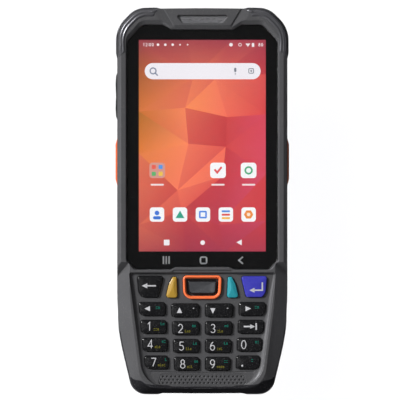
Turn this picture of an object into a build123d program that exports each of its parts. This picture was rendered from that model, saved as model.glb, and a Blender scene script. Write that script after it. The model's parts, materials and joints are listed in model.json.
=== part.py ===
from build123d import *
import math
import os

os.makedirs("parts", exist_ok=True)

# Portable data terminal with a touch screen, a numeric keypad and a barcode scanner.
# Sizes are in millimetres. It lies on its back: +X is the right of the screen, +Y
# points to the scanner end, +Z points out of the screen, and z = 0 is its back.

# Body
body_width = 69.6
body_length = 157.4
thickness = 25.0
crown = 0.2                 # rise of the two end faces towards the middle
crown_radius = 600.0
corner_cut = 7.9            # 45 degree cut across the two upper corners
corner_radius_end = 9.0
corner_radius_side = 12.0
knee_from_end = 28.5        # where the sides start to draw in, from the lower end
knee_radius = 115.0
foot_draw = 6.9             # how far the sides draw in at the lower end
foot_radius = 6.3
seam_z = 13.0               # parting line of the two housings
shoulder_z = 17.5           # top of the upright side wall
bezel_round_z = 2.0
bezel_round = 1.5
wall = 2.4
floor_thickness = 1.8

# Fits
gap = 0.15                  # round keys, buttons and doors
seat_gap = 0.05             # between pieces that seat on each other
running_gap = 0.06          # radial, round a hinge pin

# Lower housing face: a hump with sloping shoulders that frames the keypad
hump_draw = 5.0
hump_knee_from_end = 38.7
hump_foot_draw = 9.6
hump_foot_radius = 8.5
hump_end_draw = 2.2
hump_corner_radius = 4.0
slab_foot_rise = 4.4        # from the keypad's upper edge to where the slab ends
slab_slope = 6.0

# Rear housing
back_draw = 6.0
back_round_z = 2.5
back_round_draw = 2.6
back_side_z = 7.0
back_side_draw = 0.6

# Corner bumpers
bumper_proud = 0.5
bumper_depth = 1.5
bumper_z = 3.0
bumper_ramp = 2.2           # length of the slopes at a bumper's two ends
top_bumper_x = 16.8
top_bumper_length = 20.2
top_bumper_top_z = 20.0
foot_bumper_x = 16.3
foot_bumper_length = 25.5
foot_bumper_top_z = 17.0

# Cover glass and display
glass_side_margin = 4.1     # from the side of the body
glass_end_margin = 6.7      # from the upper end of the body
glass_foot_margin = 1.6     # from the keypad
glass_corner_cut = 6.2
glass_corner_drop = 0.7
glass_foot_cut = 3.5
glass_notch_depth = 2.0
glass_notch_half = 12.5
glass_notch_run = 3.5
glass_lip_half = 11.1
glass_lip_height = 1.0
glass_lip_run = 1.9
glass_rounds = [3, 2.5, 4, 4, 2, 2, 0.8, 0.8]
glass_chamfer = 0.2
glass_thickness = 1.6
glass_sink = 0.5            # below the bezel
gasket_thickness = 0.4
bevel_width = 0.5
bevel_top_extra = 1.5
bevel_depth = 0.4           # below the glass face
display_side_margin = 3.8   # from the glass's edges
display_top_margin = 4.9
display_foot_margin = 4.7
window_margin = 0.4
window_corner = 0.5
display_thickness = 2.2

# Keypad
keypad_length = 46.6
keypad_side_margin = 5.5    # from the side of the body, at the top
keypad_foot_side_margin = 10.2
keypad_foot_margin = 2.5    # from the lower end of the body
keypad_foot_radius = 11.0
keypad_top_radius = 0.9
keypad_crown_radius = 300.0
keypad_crown = 0.5
keypad_sink = 1.2
keypad_plate = 1.8
rim_slope = 0.7             # width of the hollow's wall at its top and its foot
rim_foot_draw = 0.6         # the wall's upper edge, inside the panel's nominal side
floor_foot_draw = 4.6       # the wall's lower edge, likewise
floor_foot_radius = 6.0
rim_steps = [(0.5, 0.2), (0.8, 0.5)]    # shares of the wall's width and height
key_top = 0.2               # key tops below the bezel
key_travel = 0.8
key_flange = 0.45
key_flange_thickness = 0.9
key_edge = 0.45
key_corner = 1.0
key_rows = 4
first_row_drop = 14.7       # from the keypad's upper edge
last_row_rise = 10.09       # from the keypad's lower edge
row_gap = 1.97
inner_drop = 0.55
outer_key_cut = 0.9
first_row_cut = 1.3
last_row_corner = 2.4
top_key_drop = 1.3          # the two corner keys beside the scan key
top_key_height = 8.55
corner_key_offset = 7.8     # from the scan key's ring
corner_key_lean = 2.1
corner_key_margin = 2.8     # from the keypad's side
accent_key_offset = 2.5
accent_key_width = 4.4
accent_key_foot_width = 4.8
rim_margin = 2.1
column_gap = 2.6
middle_gap = 2.6
outer_share = 0.487
scan_ring_half = 8.0
scan_ring_foot_half = 7.6
scan_ring_drop = 1.0
scan_ring_height = 9.6
scan_ring_corner = 1.6
scan_ring_foot_corner = 3.6
scan_ring_edge = 0.4
scan_ring_width = 1.25
scan_ring_sink = 0.9
scan_key_margin = 0.8
mat_thickness = 0.6
keypad_board_thickness = 1.2
keypad_board_margin = 3.2

# Earpiece slot with its collar, and microphone strip
ear_end_margin = 2.7
ear_height = 3.1
ear_top_half = 11.0
ear_foot_half = 8.0
ear_corner = 0.7
ear_ledge = 0.6             # under the plate's upper and lower edges
ear_slot_count = 5
ear_slot_pitch = 2.4
ear_slot_length = 1.4
ear_slot_height = 0.6
collar_half = 14.2          # half-width of the collar beside the slot's upper edge
collar_lean = 0.6           # sideways run of its edge for each millimetre along Y
collar_step = 0.4
collar_hollow = 4.6         # width of the hollow on either side of the collar
ear_sink = 1.0
ear_plate = 1.0
strip_foot_rise = 0.8
strip_height = 4.5
strip_margin = 0.3          # from the outermost dimples
strip_corner = 0.8
strip_foot_corner = 1.6
strip_thickness = 0.8
panel_line_rise = 6.6       # engraved line over the strip
panel_line_half = 21.0
panel_line_width = 0.4
panel_line_depth = 0.15
foot_lip_half = 13.6        # stepped lip between the glass and the keypad
foot_lip_lean = 1.7
foot_lip_height = 1.2
foot_lip_step = 0.3
dimple_rows = 3
dimple_pitch = 1.685
dimple_row_pitch = 1.32
dimple_radius = 0.42
dimple_depth = 0.35
dimple_first_count = 20

# Side buttons
side_button_z = 13.6
trigger_length = 20.7
trigger_from_end = 62.45
trigger_height = 6.0
trigger_ramp = 3.2
trigger_edge = 0.2
trigger_proud = 0.7
trigger_travel = 0.6
rocker_length = 19.4
rocker_from_end = 35.6
rocker_height = 4.6
rocker_ramp = 1.5
rocker_bump_offset = 4.6
rocker_switch_offset = 6.0
rocker_switch_gap = 0.7
rocker_axis_depth = 1.2
rocker_pivot_reach = 0.8
rocker_proud = 0.5
rocker_bump = 0.2
rocker_pivot_radius = 0.7
rocker_depth = 1.9
power_length = 9.0
power_height = 4.2
power_sink = 0.1
power_corner = 1.6
side_flange = 0.7
side_flange_thickness = 0.9
switch_thickness = 1.2
switch_half_height = 2.0
switch_gap = 0.1

# Screws
screw_radius = 1.0
screw_head_radius = 1.9
screw_head_height = 1.4
screw_head_z = 2.2
boss_radius = 2.7
screw_wall_offset = 4.6
upper_screw_from_end = 18.5
middle_screw_drop = 24.05   # below the middle of the triggers
foot_screw_inset = 3.1
foot_screw_from_end = 6.3
screw_top_z = 18.5
screw_cross = 2.4
screw_cross_width = 0.5
screw_cross_depth = 0.85

# Battery bay, battery, door and latch
bay_side_margin = 9.8
bay_length = 73.0
bay_corner = 1.5
bay_ceiling_z = 10.8
bay_wall = 1.2
battery_margin = 0.5
door_side_margin = 8.3
door_foot_from_end = 14.5
door_to_bay_foot = 5.0
door_to_bay_top = 4.6
door_corner = 4.0
door_top_corner = 1.6
door_thickness = 2.2
door_sink = 0.15
hinge_drop = 4.0            # from the door's edge to its hinge line
hinge_z = 1.4
knuckle_radius = 1.25
knuckle_length = 11.0
knuckle_x = 16.0
pin_radius = 0.6
latch_width = 14.0
latch_length = 7.0
latch_thickness = 1.1
latch_travel = 2.0
latch_tongue = 1.6
latch_margin = 2.6
latch_shoulder = 2.0        # how much narrower the tongue is, on each side
latch_ridges = 3
latch_ridge_pitch = 1.4
latch_ridge_width = 0.6
latch_ridge_depth = 0.3

# Charging socket and its cover
cover_half = 7.0
cover_height = 5.4
cover_thickness = 1.2
cover_hinge_z = 6.6
cover_hinge_depth = 1.1
cover_knuckle_radius = 0.7
cover_pin_radius = 0.45
cover_pin_length = 0.9
socket_width = 9.0
socket_height = 3.2
socket_depth = 7.4
socket_z = 9.7
socket_wall = 0.4

# Scanner
window_half = 12.5
window_low_z = 7.5
window_high_z = 17.0
window_thickness = 1.4
window_sink = 1.1
engine_half = 10.6
engine_depth = 11.5
engine_height = 7.6
engine_gap = 0.4
lens_x = -3.5
lens_radius = 2.6
aimer_x = 5.0
aimer_radius = 1.6
lens_depth = 0.8

# Camera, flash, speaker and other inner pieces
camera_x = 13.0
camera_from_end = 22.5
camera_radius = 4.2
camera_module_size = 8.6
flash_x = 3.6
flash_radius = 1.9
speaker_x = -15.0
speaker_from_end = 24.5
speaker_width = 16.0
speaker_length = 11.0
speaker_height = 3.4
speaker_slots = 5
speaker_slot_pitch = 1.9
speaker_slot_width = 0.9
speaker_slot_length = 9.0
earpiece_half = 5.5
earpiece_height = 2.0
motor_x = 8.0
motor_drop = 10.0           # below the camera
motor_radius = 2.2
motor_length = 10.0
board_thickness = 1.2
board_margin = 2.0
board_corner = 2.0
board_to_scanner = 3.0
can_x = -2.0
can_width = 22.0
can_height = 1.6
upper_can_length = 22.0
upper_can_drop = 31.0       # from the board's upper edge
lower_can_length = 26.0
lower_can_rise = 41.0       # from the board's lower edge
contact_pitch = 3.2
contact_count = 4
contact_width = 1.6
contact_low = 4.3           # below the bay's ceiling
contact_high = 1.4
contact_gap = 0.1
cradle_pad_count = 4
cradle_pad_pitch = 3.0
cradle_pad_radius = 0.9
cradle_pad_from_end = 8.5

half_width = body_width / 2
body_end = body_length / 2 - crown
keypad_foot_y = keypad_foot_margin - body_end
keypad_top_y = keypad_foot_y + keypad_length
keypad_top_half = half_width - keypad_side_margin
keypad_foot_half = half_width - keypad_foot_side_margin
slab_end_y = keypad_top_y + slab_foot_rise
glass_top_y = body_end - glass_end_margin
glass_bottom_y = keypad_top_y + glass_foot_margin
glass_width = body_width - 2 * glass_side_margin
display_width = glass_width - 2 * display_side_margin
display_top_y = glass_top_y - display_top_margin
display_foot_y = glass_bottom_y + display_foot_margin
display_length = display_top_y - display_foot_y
display_centre_y = (display_top_y + display_foot_y) / 2
first_row_y = keypad_top_y - first_row_drop
row_pitch = (first_row_y - keypad_foot_y - last_row_rise) / (key_rows - 1)
key_height = row_pitch - row_gap
scan_ring_top_y = keypad_top_y - scan_ring_drop
scan_ring_foot_y = scan_ring_top_y - scan_ring_height
ear_top_y = body_end - ear_end_margin
ear_foot_y = ear_top_y - ear_height
strip_foot_y = keypad_foot_y + strip_foot_rise
strip_top_y = strip_foot_y + strip_height
top_bumper_y = body_end - top_bumper_length
foot_bumper_y = foot_bumper_length - body_end
trigger_centre_y = body_end - trigger_from_end
rocker_centre_y = body_end - rocker_from_end
upper_screw_y = body_end - upper_screw_from_end
middle_screw_y = trigger_centre_y - middle_screw_drop
foot_screw_x = half_width - foot_draw - foot_screw_inset
foot_screw_y = foot_screw_from_end - body_end
door_foot_y = door_foot_from_end - body_end
bay_foot_y = door_foot_y + door_to_bay_foot
bay_top_y = bay_foot_y + bay_length
door_top_y = bay_top_y + door_to_bay_top
bay_width = body_width - 2 * bay_side_margin
door_width = body_width - 2 * door_side_margin
hinge_y = door_top_y + hinge_drop
camera_y = body_end - camera_from_end
speaker_y = body_end - speaker_from_end
cradle_pad_y = cradle_pad_from_end - body_end
bezel_z = thickness
glass_z = bezel_z - glass_sink
glass_under_z = glass_z - glass_thickness
ledge_z = glass_under_z - gasket_thickness
plate_z = bezel_z - keypad_sink
plate_under_z = plate_z - keypad_plate
key_top_z = bezel_z - key_top
flange_top_z = plate_under_z - 0.1
flange_z = flange_top_z - key_flange_thickness
mat_top_z = flange_z - key_travel - 0.1
board_top_z = mat_top_z - mat_thickness
board_under_z = board_top_z - keypad_board_thickness
display_top_z = glass_under_z - seat_gap
display_under_z = display_top_z - display_thickness


def polygon(points, radii):
    """Closed face from its corners, each rounded to its own radius."""
    count = len(points)
    starts = []
    middles = []
    ends = []
    for index, radius in enumerate(radii):
        corner = Vector(*points[index])
        back = (Vector(*points[index - 1]) - corner).normalized()
        onward = (Vector(*points[(index + 1) % count]) - corner).normalized()
        half = math.radians(back.get_angle(onward)) / 2
        reach = radius / math.tan(half)
        starts.append(corner + back * reach)
        middles.append(corner + (back + onward).normalized() * radius * (1 / math.sin(half) - 1))
        ends.append(corner + onward * reach)
    edges = []
    for index, radius in enumerate(radii):
        if radius > 0:
            edges.append(ThreePointArc(starts[index], middles[index], ends[index]))
        edges.append(Line(ends[index], starts[(index + 1) % count]))
    return make_face(edges)


def loop(right, radii):
    """Face symmetric about x = 0, from its right half listed from the top down."""
    pairs = list(zip(right, radii))
    left = [((-x, y), radius) for (x, y), radius in reversed(pairs) if x > 0]
    points = [point for point, radius in pairs + left]
    return polygon(points, [radius for point, radius in pairs + left])


def rise(face, low, high):
    """Straight solid between two heights."""
    return extrude(Pos(0, 0, low) * face, amount=high - low)


def skin(sections):
    """Ruled solid through faces that are given with their heights."""
    return loft([Pos(0, 0, z) * face for z, face in sections], ruled=True)


def block(x0, x1, y0, y1, z0, z1):
    """Box from its limits."""
    size = Box(abs(x1 - x0), abs(y1 - y0), z1 - z0)
    return Pos((x0 + x1) / 2, (y0 + y1) / 2, (z0 + z1) / 2) * size


def post(x, y, z0, z1, radius):
    """Upright cylinder."""
    return Pos(x, y, (z0 + z1) / 2) * Cylinder(radius, z1 - z0)


def rod_x(x0, x1, y, z, radius):
    """Cylinder along X."""
    return Pos((x0 + x1) / 2, y, z) * Rot(0, 90, 0) * Cylinder(radius, abs(x1 - x0))


def flip(solid):
    """Mirror image on the other side of the body."""
    return mirror(solid, Plane.YZ)


def body_plan(draw=0.0):
    """Outline of the body, drawn in all round."""
    side = half_width - draw
    end = body_end - draw
    diagonal = half_width + body_end - corner_cut - draw * math.sqrt(2)
    right = [
        (0, end + crown),
        (diagonal - end, end),
        (side, diagonal - side),
        (side, knee_from_end - body_end),
        (side - foot_draw, -end),
        (0, -end - crown),
    ]
    rounds = [crown_radius, corner_radius_end, corner_radius_side, knee_radius, foot_radius,
              crown_radius]
    return loop(right, [max(radius - draw, 1.0) for radius in rounds])


def hump_plan(draw=0.0):
    """Outline of the raised keypad frame at its top."""
    side = half_width - hump_draw - draw
    foot = half_width - hump_foot_draw - draw
    end = body_end - draw
    diagonal = half_width + body_end - corner_cut - (draw + hump_draw) * math.sqrt(2)
    foot_end = -(end - hump_end_draw)
    right = [
        (0, end + crown),
        (diagonal - end, end),
        (side, diagonal - side),
        (side, hump_knee_from_end - body_end),
        (foot, foot_end),
        (0, foot_end - crown),
    ]
    rounds = [crown_radius, corner_radius_end, hump_corner_radius, knee_radius,
              hump_foot_radius, crown_radius]
    return loop(right, [max(radius - draw, 1.0) for radius in rounds])


def front_form(grow=0.0):
    """Closed outer form of the front half."""
    wall_ring = rise(body_plan(-grow), seam_z, shoulder_z)
    slab = skin([
        (shoulder_z, body_plan(-grow)),
        (bezel_z - bezel_round_z, body_plan(0.25 * bezel_round - grow)),
        (bezel_z, body_plan(bezel_round - grow)),
    ])
    span = body_width + 20
    slope = [
        (slab_end_y - slab_slope * 1.4, shoulder_z - 3.0),
        (slab_end_y + slab_slope * 0.4, bezel_z + 3.0),
        (-body_length, bezel_z + 3.0),
        (-body_length, shoulder_z - 3.0),
    ]
    profile = Plane.YZ.offset(-span / 2) * make_face(Polyline(*slope, close=True))
    slab -= extrude(profile, amount=span)
    hump = skin([(shoulder_z, body_plan(-grow)), (bezel_z, hump_plan(-grow))])
    return wall_ring + slab + hump


def rear_form(grow=0.0):
    """Closed outer form of the rear half."""
    return skin([
        (0, body_plan(back_draw - grow)),
        (back_round_z, body_plan(back_round_draw - grow)),
        (back_side_z, body_plan(back_side_draw - grow)),
        (seam_z, body_plan(-grow)),
    ])


def bumper_zone(top):
    """Space round one right-hand corner that its bumper may fill."""
    far = body_length
    if top:
        return block(top_bumper_x, far, top_bumper_y, far, bumper_z, top_bumper_top_z)
    return block(foot_bumper_x, far, foot_bumper_y, -far, bumper_z, foot_bumper_top_z)


def bumper_pockets():
    """Cut for all four bumpers."""
    core = rise(body_plan(bumper_depth), -1, bezel_z + 1)
    right = (bumper_zone(True) - core) + (bumper_zone(False) - core)
    return right + flip(right)


def bumper(top, form):
    """Right-hand corner bumper, a little proud of the body."""
    core = rise(body_plan(bumper_depth - seat_gap), -1, bezel_z + 1)
    return (form & bumper_zone(top)) - core - bumper_slopes(top)


def bumper_slopes(top):
    """Wedges that bring a bumper's two ends down to the body."""
    side = 1 if top else -1
    x = top_bumper_x if top else foot_bumper_x
    end = side * (body_end + crown / 2)
    far = end + side * 2 * bumper_proud
    across = make_face(Polyline((x, end), (x + 2 * bumper_ramp, far), (x, far), close=True))
    wedges = rise(across, 0, bezel_z)
    if top:
        y = top_bumper_y
        far_x = half_width + 2 * bumper_proud
        along = make_face(Polyline((half_width, y), (far_x, y), (far_x, y + 2 * bumper_ramp),
                                   close=True))
        wedges += rise(along, 0, bezel_z)
    return wedges


def glass_plan(grow=0.0, grow_top=0.0):
    """Outline of the cover glass."""
    side = glass_width / 2 + grow
    top = glass_top_y + grow + grow_top
    foot = glass_bottom_y - grow
    notch = glass_notch_half + 0.4 * grow
    lip = glass_lip_half - 0.4 * grow
    right = [
        (notch, top - glass_notch_depth),
        (notch + glass_notch_run, top),
        (side - glass_corner_cut, top),
        (side, top - glass_corner_cut - glass_corner_drop),
        (side, foot + glass_foot_cut + 0.4),
        (side - glass_foot_cut, foot),
        (lip + glass_lip_run, foot),
        (lip, foot + glass_lip_height),
    ]
    return loop(right, glass_rounds)


def keypad_plan(level):
    """Outline of the keypad's hollow, from level 0 at its floor to level 1 at its rim."""
    foot = keypad_foot_y + (1 - level) * rim_slope
    draw = floor_foot_draw + level * (rim_foot_draw - floor_foot_draw)
    foot_corner = floor_foot_radius + level * (keypad_foot_radius - floor_foot_radius)
    right = [
        (keypad_top_half + level * rim_slope, keypad_top_y + 0.3 * level * rim_slope),
        (keypad_foot_half - draw, foot),
        (0, foot - keypad_crown),
    ]
    return loop(right, [keypad_top_radius, foot_corner, keypad_crown_radius])


def keypad_hollow():
    """Hollow of the keypad, whose wall grows steeper towards the rim."""
    sections = [(plate_z, keypad_plan(0))]
    for level, height in rim_steps:
        sections.append((plate_z + height * keypad_sink, keypad_plan(level)))
    sections.append((bezel_z + 0.01, keypad_plan(1)))
    return skin(sections)


def rim_x(y):
    """Half-width of the keypad panel at a height y."""
    share = (keypad_top_y - y) / (keypad_top_y - keypad_foot_y)
    return keypad_top_half + (keypad_foot_half - keypad_top_half) * share


def row_keys(row):
    """Corners of the outer and the inner key of a row, on the right half."""
    y = first_row_y - row * row_pitch
    outer_edge = rim_x(y) - rim_margin
    free = outer_edge - middle_gap / 2 - column_gap
    outer_width = outer_share * free
    inner_low = middle_gap / 2
    inner_high = inner_low + free - outer_width
    half = key_height / 2
    outer_low = outer_edge - outer_width
    cut = first_row_cut if row == 0 else outer_key_cut
    outer = [
        (outer_low, y + half),
        (outer_edge + 0.15, y + half),
        (outer_edge - 0.1, y - half + cut),
        (outer_edge - 0.1 - cut, y - half),
        (outer_low - 0.1, y - half),
    ]
    drop = y - inner_drop
    inner = [
        (inner_low, drop + half),
        (inner_high + 0.1, drop + half),
        (inner_high - 0.1, drop - half),
        (inner_low, drop - half),
    ]
    last = row == key_rows - 1
    round_corner = last_row_corner if last else key_corner
    outer_radii = [key_corner, key_corner, round_corner, round_corner, key_corner]
    if last:
        outer = [outer[0], outer[1], (outer_edge - 0.4, y - half), outer[4]]
        outer_radii = [key_corner, key_corner, last_row_corner, key_corner]
    return (outer, outer_radii), (inner, [key_corner] * 4)


def key_table():
    """Corners and corner radii of every key, by node name."""
    table = {}
    high = keypad_top_y - top_key_drop
    low = high - top_key_height
    inner_x = scan_ring_half + corner_key_offset
    outer_x = keypad_top_half - corner_key_margin
    corner = [
        (inner_x, high),
        (outer_x, high),
        (outer_x - 0.6, low + 0.25 * top_key_height),
        (outer_x - 1.9, low),
        (inner_x + corner_key_lean, low),
    ]
    corner_radii = [0.9, 1.0, 1.8, 1.5, 1.0]
    accent_x = scan_ring_half + accent_key_offset
    accent = [
        (accent_x, high - 0.3),
        (accent_x + 1.6, high - 0.3),
        (accent_x + 3.1, high - 3.2),
        (accent_x + accent_key_width, low - 0.15),
        (accent_x + accent_key_width - accent_key_foot_width, low - 0.25),
    ]
    accent_radii = [0.5, 0.7, 2.5, 1.0, 1.0]
    names = [
        ("key_left", "key_right", "key_up", "key_down"),
        ("key_1", "key_tab", "key_2", "key_3"),
        ("key_4", "key_0", "key_5", "key_6"),
        ("key_7", "key_point", "key_8", "key_9"),
    ]
    pairs = [("key_backspace", "key_enter", corner, corner_radii)]
    pairs.append(("key_yellow", "key_cyan", accent, accent_radii))
    for row in range(key_rows):
        outer, inner = row_keys(row)
        left, right, inner_left, inner_right = names[row]
        pairs.append((left, right, outer[0], outer[1]))
        pairs.append((inner_left, inner_right, inner[0], inner[1]))
    for left, right, points, radii in pairs:
        table[right] = (points, radii)
        mirrored = [(-x, y) for x, y in reversed(points)]
        table[left] = (mirrored, list(reversed(radii)))
    table["key_scan"] = scan_outline(-scan_ring_width - scan_key_margin)
    return table


def scan_outline(grow=0.0):
    """Corners of the scan key ring, grown all round."""
    top_half = scan_ring_half + grow
    foot_half = scan_ring_foot_half + grow
    high = scan_ring_top_y + grow
    low = scan_ring_foot_y - grow
    points = [(-top_half, high), (top_half, high), (foot_half, low), (-foot_half, low)]
    high_corner = max(scan_ring_corner + grow, 0.6)
    return points, [high_corner] * 2 + [scan_ring_foot_corner + grow] * 2


def grown(points, radii, grow):
    """Face of an outline pushed outwards."""
    return offset(polygon(points, radii), amount=grow)


def key(points, radii):
    """Key cap on a flange that the panel holds down, over a short actuator."""
    cap = rise(polygon(points, radii), flange_z, key_top_z)
    cap = fillet(cap.faces().sort_by(Axis.Z)[-1].edges(), key_edge)
    flange = rise(grown(points, radii, key_flange), flange_z, flange_top_z)
    return cap + flange


def screw_places():
    """Centres of the six housing screws."""
    side = half_width - screw_wall_offset
    places = [(side, upper_screw_y), (side, middle_screw_y), (foot_screw_x, foot_screw_y)]
    return places + [(-x, y) for x, y in places]


def side_slot(centre_y, length, height, extra=0.0):
    """Opening through the right-hand wall for a side button."""
    reach = length / 2 + gap + extra
    rise_half = height / 2 + gap + extra
    return block(
        half_width - wall - 2.5, half_width + 2, centre_y - reach, centre_y + reach,
        side_button_z - rise_half, side_button_z + rise_half,
    )


def flange_space(centre_y, length, height):
    """Room behind the right-hand wall for a side button's flange and switch."""
    reach = length / 2 + side_flange + 2 * gap
    rise_half = height / 2 + side_flange + 2 * gap
    return block(
        half_width - wall - 4.6, half_width - wall, centre_y - reach, centre_y + reach,
        side_button_z - rise_half, side_button_z + rise_half,
    )


def pivot_slot():
    """Sockets of the volume rocker's pivot, on the right-hand side."""
    reach = rocker_height / 2 + gap + rocker_pivot_reach
    centre = rocker_axis_x()
    return post(centre, rocker_centre_y, side_button_z - reach, side_button_z + reach,
                rocker_pivot_radius + running_gap)


def rocker_axis_x():
    """Distance of the rocker's pivot from the middle of the body."""
    return half_width - rocker_axis_depth


def button_cuts():
    """All openings and rooms for the side buttons."""
    trigger = side_slot(trigger_centre_y, trigger_length, trigger_height)
    trigger += flange_space(trigger_centre_y, trigger_length, trigger_height)
    power = side_slot(rocker_centre_y, power_length, power_height)
    power += flange_space(rocker_centre_y, power_length, power_height)
    rocker = side_slot(rocker_centre_y, rocker_length, rocker_height)
    rocker += flange_space(rocker_centre_y, rocker_length - 4, rocker_height)
    rocker += pivot_slot()
    return trigger + flip(trigger) + power + flip(rocker)


def scan_window_cut(room=0.0):
    """Room for the scan window in the upper end face."""
    window_y = body_end - window_sink
    return block(-window_half - room, window_half + room, window_y - window_thickness - room,
                 body_length, window_low_z - room, window_high_z + room)


def front_housing():
    """Front shell with the glass seat, the keypad panel and the key openings."""
    shell = front_form()
    room = rise(body_plan(wall), seam_z - 1, shoulder_z - 1.2)
    room += skin([
        (shoulder_z - 1.2, body_plan(wall)),
        (plate_under_z, hump_plan(2.0)),
    ])
    shell -= room
    for x, y in screw_places():
        shell += post(x, y, seam_z, plate_under_z - 1.4, boss_radius) & front_form(-0.6)
    shell -= skin([
        (glass_z - bevel_depth, glass_plan(gap)),
        (bezel_z, glass_plan(bevel_width, bevel_top_extra)),
    ])
    shell -= rise(glass_plan(gap), ledge_z, bezel_z + 1)
    shell -= rise(display_window(), seam_z - 1, bezel_z + 1)
    shell -= keypad_hollow()
    for name, (points, radii) in key_table().items():
        shell -= rise(grown(points, radii, gap), plate_under_z - 1, plate_z + 1)
        shell -= rise(grown(points, radii, key_flange + gap), flange_z - 1, plate_under_z)
    ring = polygon(*scan_outline(seat_gap))
    shell -= rise(ring, plate_z - scan_ring_sink, plate_z + 1)
    shell -= rise(strip_plan(seat_gap), plate_z - strip_thickness, plate_z + 1)
    shell -= rise(ear_plan(seat_gap), bezel_z - ear_sink - ear_plate, bezel_z + 1)
    shell -= block(-ear_foot_half + 1, ear_foot_half - 1, ear_foot_y + ear_ledge,
                   ear_top_y - ear_ledge, plate_under_z - 1, bezel_z)
    shell -= collar_hollows()
    shell -= foot_lip()
    shell -= panel_line()
    shell -= button_cuts()
    shell -= scan_window_cut(seat_gap)
    shell -= block(-engine_half - engine_gap, engine_half + engine_gap,
                   scanner_back_y() - engine_gap, body_end - wall, seam_z - 1,
                   engine_top_z() + engine_gap)
    for x, y in screw_places():
        shell -= post(x, y, seam_z - 1, screw_top_z + 0.3, screw_radius + 0.02)
    return shell - bumper_pockets()


def display_window():
    """Window in the housing's ledge that the display fills."""
    side = display_width / 2 + window_margin
    reach = display_length / 2 + window_margin
    corners = [(side, display_centre_y + reach), (side, display_centre_y - reach)]
    return loop(corners, [window_corner] * 2)


def strip_plan(grow=0.0):
    """Outline of the dimpled strip under the keys."""
    top_half = (dimple_first_count - 1) * dimple_pitch / 2 + dimple_radius + strip_margin
    foot_half = top_half + (dimple_rows - 1) * dimple_pitch / 2
    right = [(top_half + grow, strip_top_y + grow), (foot_half + grow, strip_foot_y - grow)]
    return loop(right, [strip_corner, strip_foot_corner])


def ear_plan(grow=0.0):
    """Outline of the earpiece slot."""
    right = [
        (ear_top_half + grow, ear_top_y + grow),
        (ear_foot_half + grow, ear_foot_y - grow),
    ]
    return loop(right, [ear_corner, ear_corner])


def collar_hollows():
    """Hollows that slope down to a collar left standing round the earpiece slot."""
    start_y = glass_top_y - glass_notch_depth
    x = collar_half - collar_lean * (ear_top_y - start_y)
    profile = Polyline(
        (x, bezel_z + 1), (x, bezel_z - collar_step), (x + collar_hollow, bezel_z),
        (x + collar_hollow, bezel_z + 1), close=True)
    section = Plane.XZ.offset(-start_y) * make_face(profile)
    right = extrude(section, amount=body_length - start_y, dir=(collar_lean, 1, 0))
    return right + flip(right)


def foot_lip():
    """Step in the bar between the glass and the keypad."""
    high = keypad_top_y + foot_lip_height
    right = [(foot_lip_half - foot_lip_lean, high), (foot_lip_half, keypad_top_y - 1)]
    return rise(loop(right, [0.3, 0.0]), bezel_z - foot_lip_step, bezel_z + 1)


def panel_line():
    """Engraved line across the keypad panel, over the dimpled strip."""
    y = keypad_foot_y + panel_line_rise
    half = panel_line_half
    width = panel_line_width
    ends = [(-half, y), (half, y)]
    upper = ThreePointArc(ends[0], (0, y - keypad_crown), ends[1])
    lower = ThreePointArc((half, y - width), (0, y - keypad_crown - width), (-half, y - width))
    sides = [Line(ends[1], (half, y - width)), Line((-half, y - width), ends[0])]
    return rise(make_face([upper, sides[0], lower, sides[1]]), plate_z - panel_line_depth,
                plate_z + 1)


def earpiece_grille():
    """Plate in the floor of the earpiece slot, with a row of sound slots."""
    plate = rise(ear_plan(), bezel_z - ear_sink - ear_plate + seat_gap, bezel_z - ear_sink)
    middle_y = (ear_top_y + ear_foot_y) / 2
    for step in range(ear_slot_count):
        x = (step - (ear_slot_count - 1) / 2) * ear_slot_pitch
        plate -= block(x - ear_slot_length / 2, x + ear_slot_length / 2,
                       middle_y - ear_slot_height / 2, middle_y + ear_slot_height / 2,
                       bezel_z - 4, bezel_z)
    return plate


def microphone_strip():
    """Strip with staggered rows of dimples, each row one dimple longer."""
    low = plate_z - strip_thickness + seat_gap
    strip = rise(strip_plan(), low, plate_z)
    middle_y = (strip_top_y + strip_foot_y) / 2
    dimples = []
    for row in range(dimple_rows):
        count = dimple_first_count + row
        y = middle_y + (1 - row) * dimple_row_pitch
        start = -(count - 1) * dimple_pitch / 2
        for index in range(count):
            x = start + index * dimple_pitch
            dimples.append(post(x, y, plate_z - dimple_depth, plate_z + 1, dimple_radius))
    return strip - dimples


def scanner_back_y():
    """Rear face of the scan engine."""
    return body_end - window_sink - window_thickness - 0.5 - engine_depth


def engine_top_z():
    """Upper face of the scan engine."""
    return (window_low_z + window_high_z) / 2 + engine_height / 2


def door_hollow():
    """Recess for the battery door and its hinge."""
    plate = rise(door_plan(2 * gap), -1, door_sink + door_thickness + seat_gap)
    hinge = Part()
    for side in (-1, 1):
        x = side * knuckle_x
        half = knuckle_length / 2 + gap
        hinge += rod_x(x - half, x + half, hinge_y, hinge_z, knuckle_radius + 0.25)
        hinge += block(x - half, x + half, door_top_y - 0.5, hinge_y + knuckle_radius + 0.25,
                       -1, hinge_z)
        hinge += block(x - half, x + half, door_top_y - 0.5, hinge_y, -1,
                       hinge_z + knuckle_radius + 0.25)
    return plate + hinge


def door_plan(grow=0.0):
    """Outline of the battery door."""
    right = [
        (door_width / 2 + grow, door_top_y + grow),
        (door_width / 2 + grow, door_foot_y - grow),
    ]
    return loop(right, [door_top_corner, door_corner])


def bay_plan(grow=0.0):
    """Outline of the battery bay."""
    right = [(bay_width / 2 + grow, bay_top_y + grow), (bay_width / 2 + grow, bay_foot_y - grow)]
    return loop(right, [bay_corner, bay_corner])


def pin_reach():
    """Half-length of the door's hinge pin."""
    return knuckle_x + knuckle_length / 2 + 2.5


def latch_keeper():
    """Notch in the rear housing that takes the latch's tongue."""
    half = latch_width / 2 - latch_shoulder + 2 * gap
    low = door_foot_y - latch_tongue - 2 * gap
    return block(-half, half, low, door_foot_y, -1, door_sink + door_thickness + seat_gap)


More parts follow.
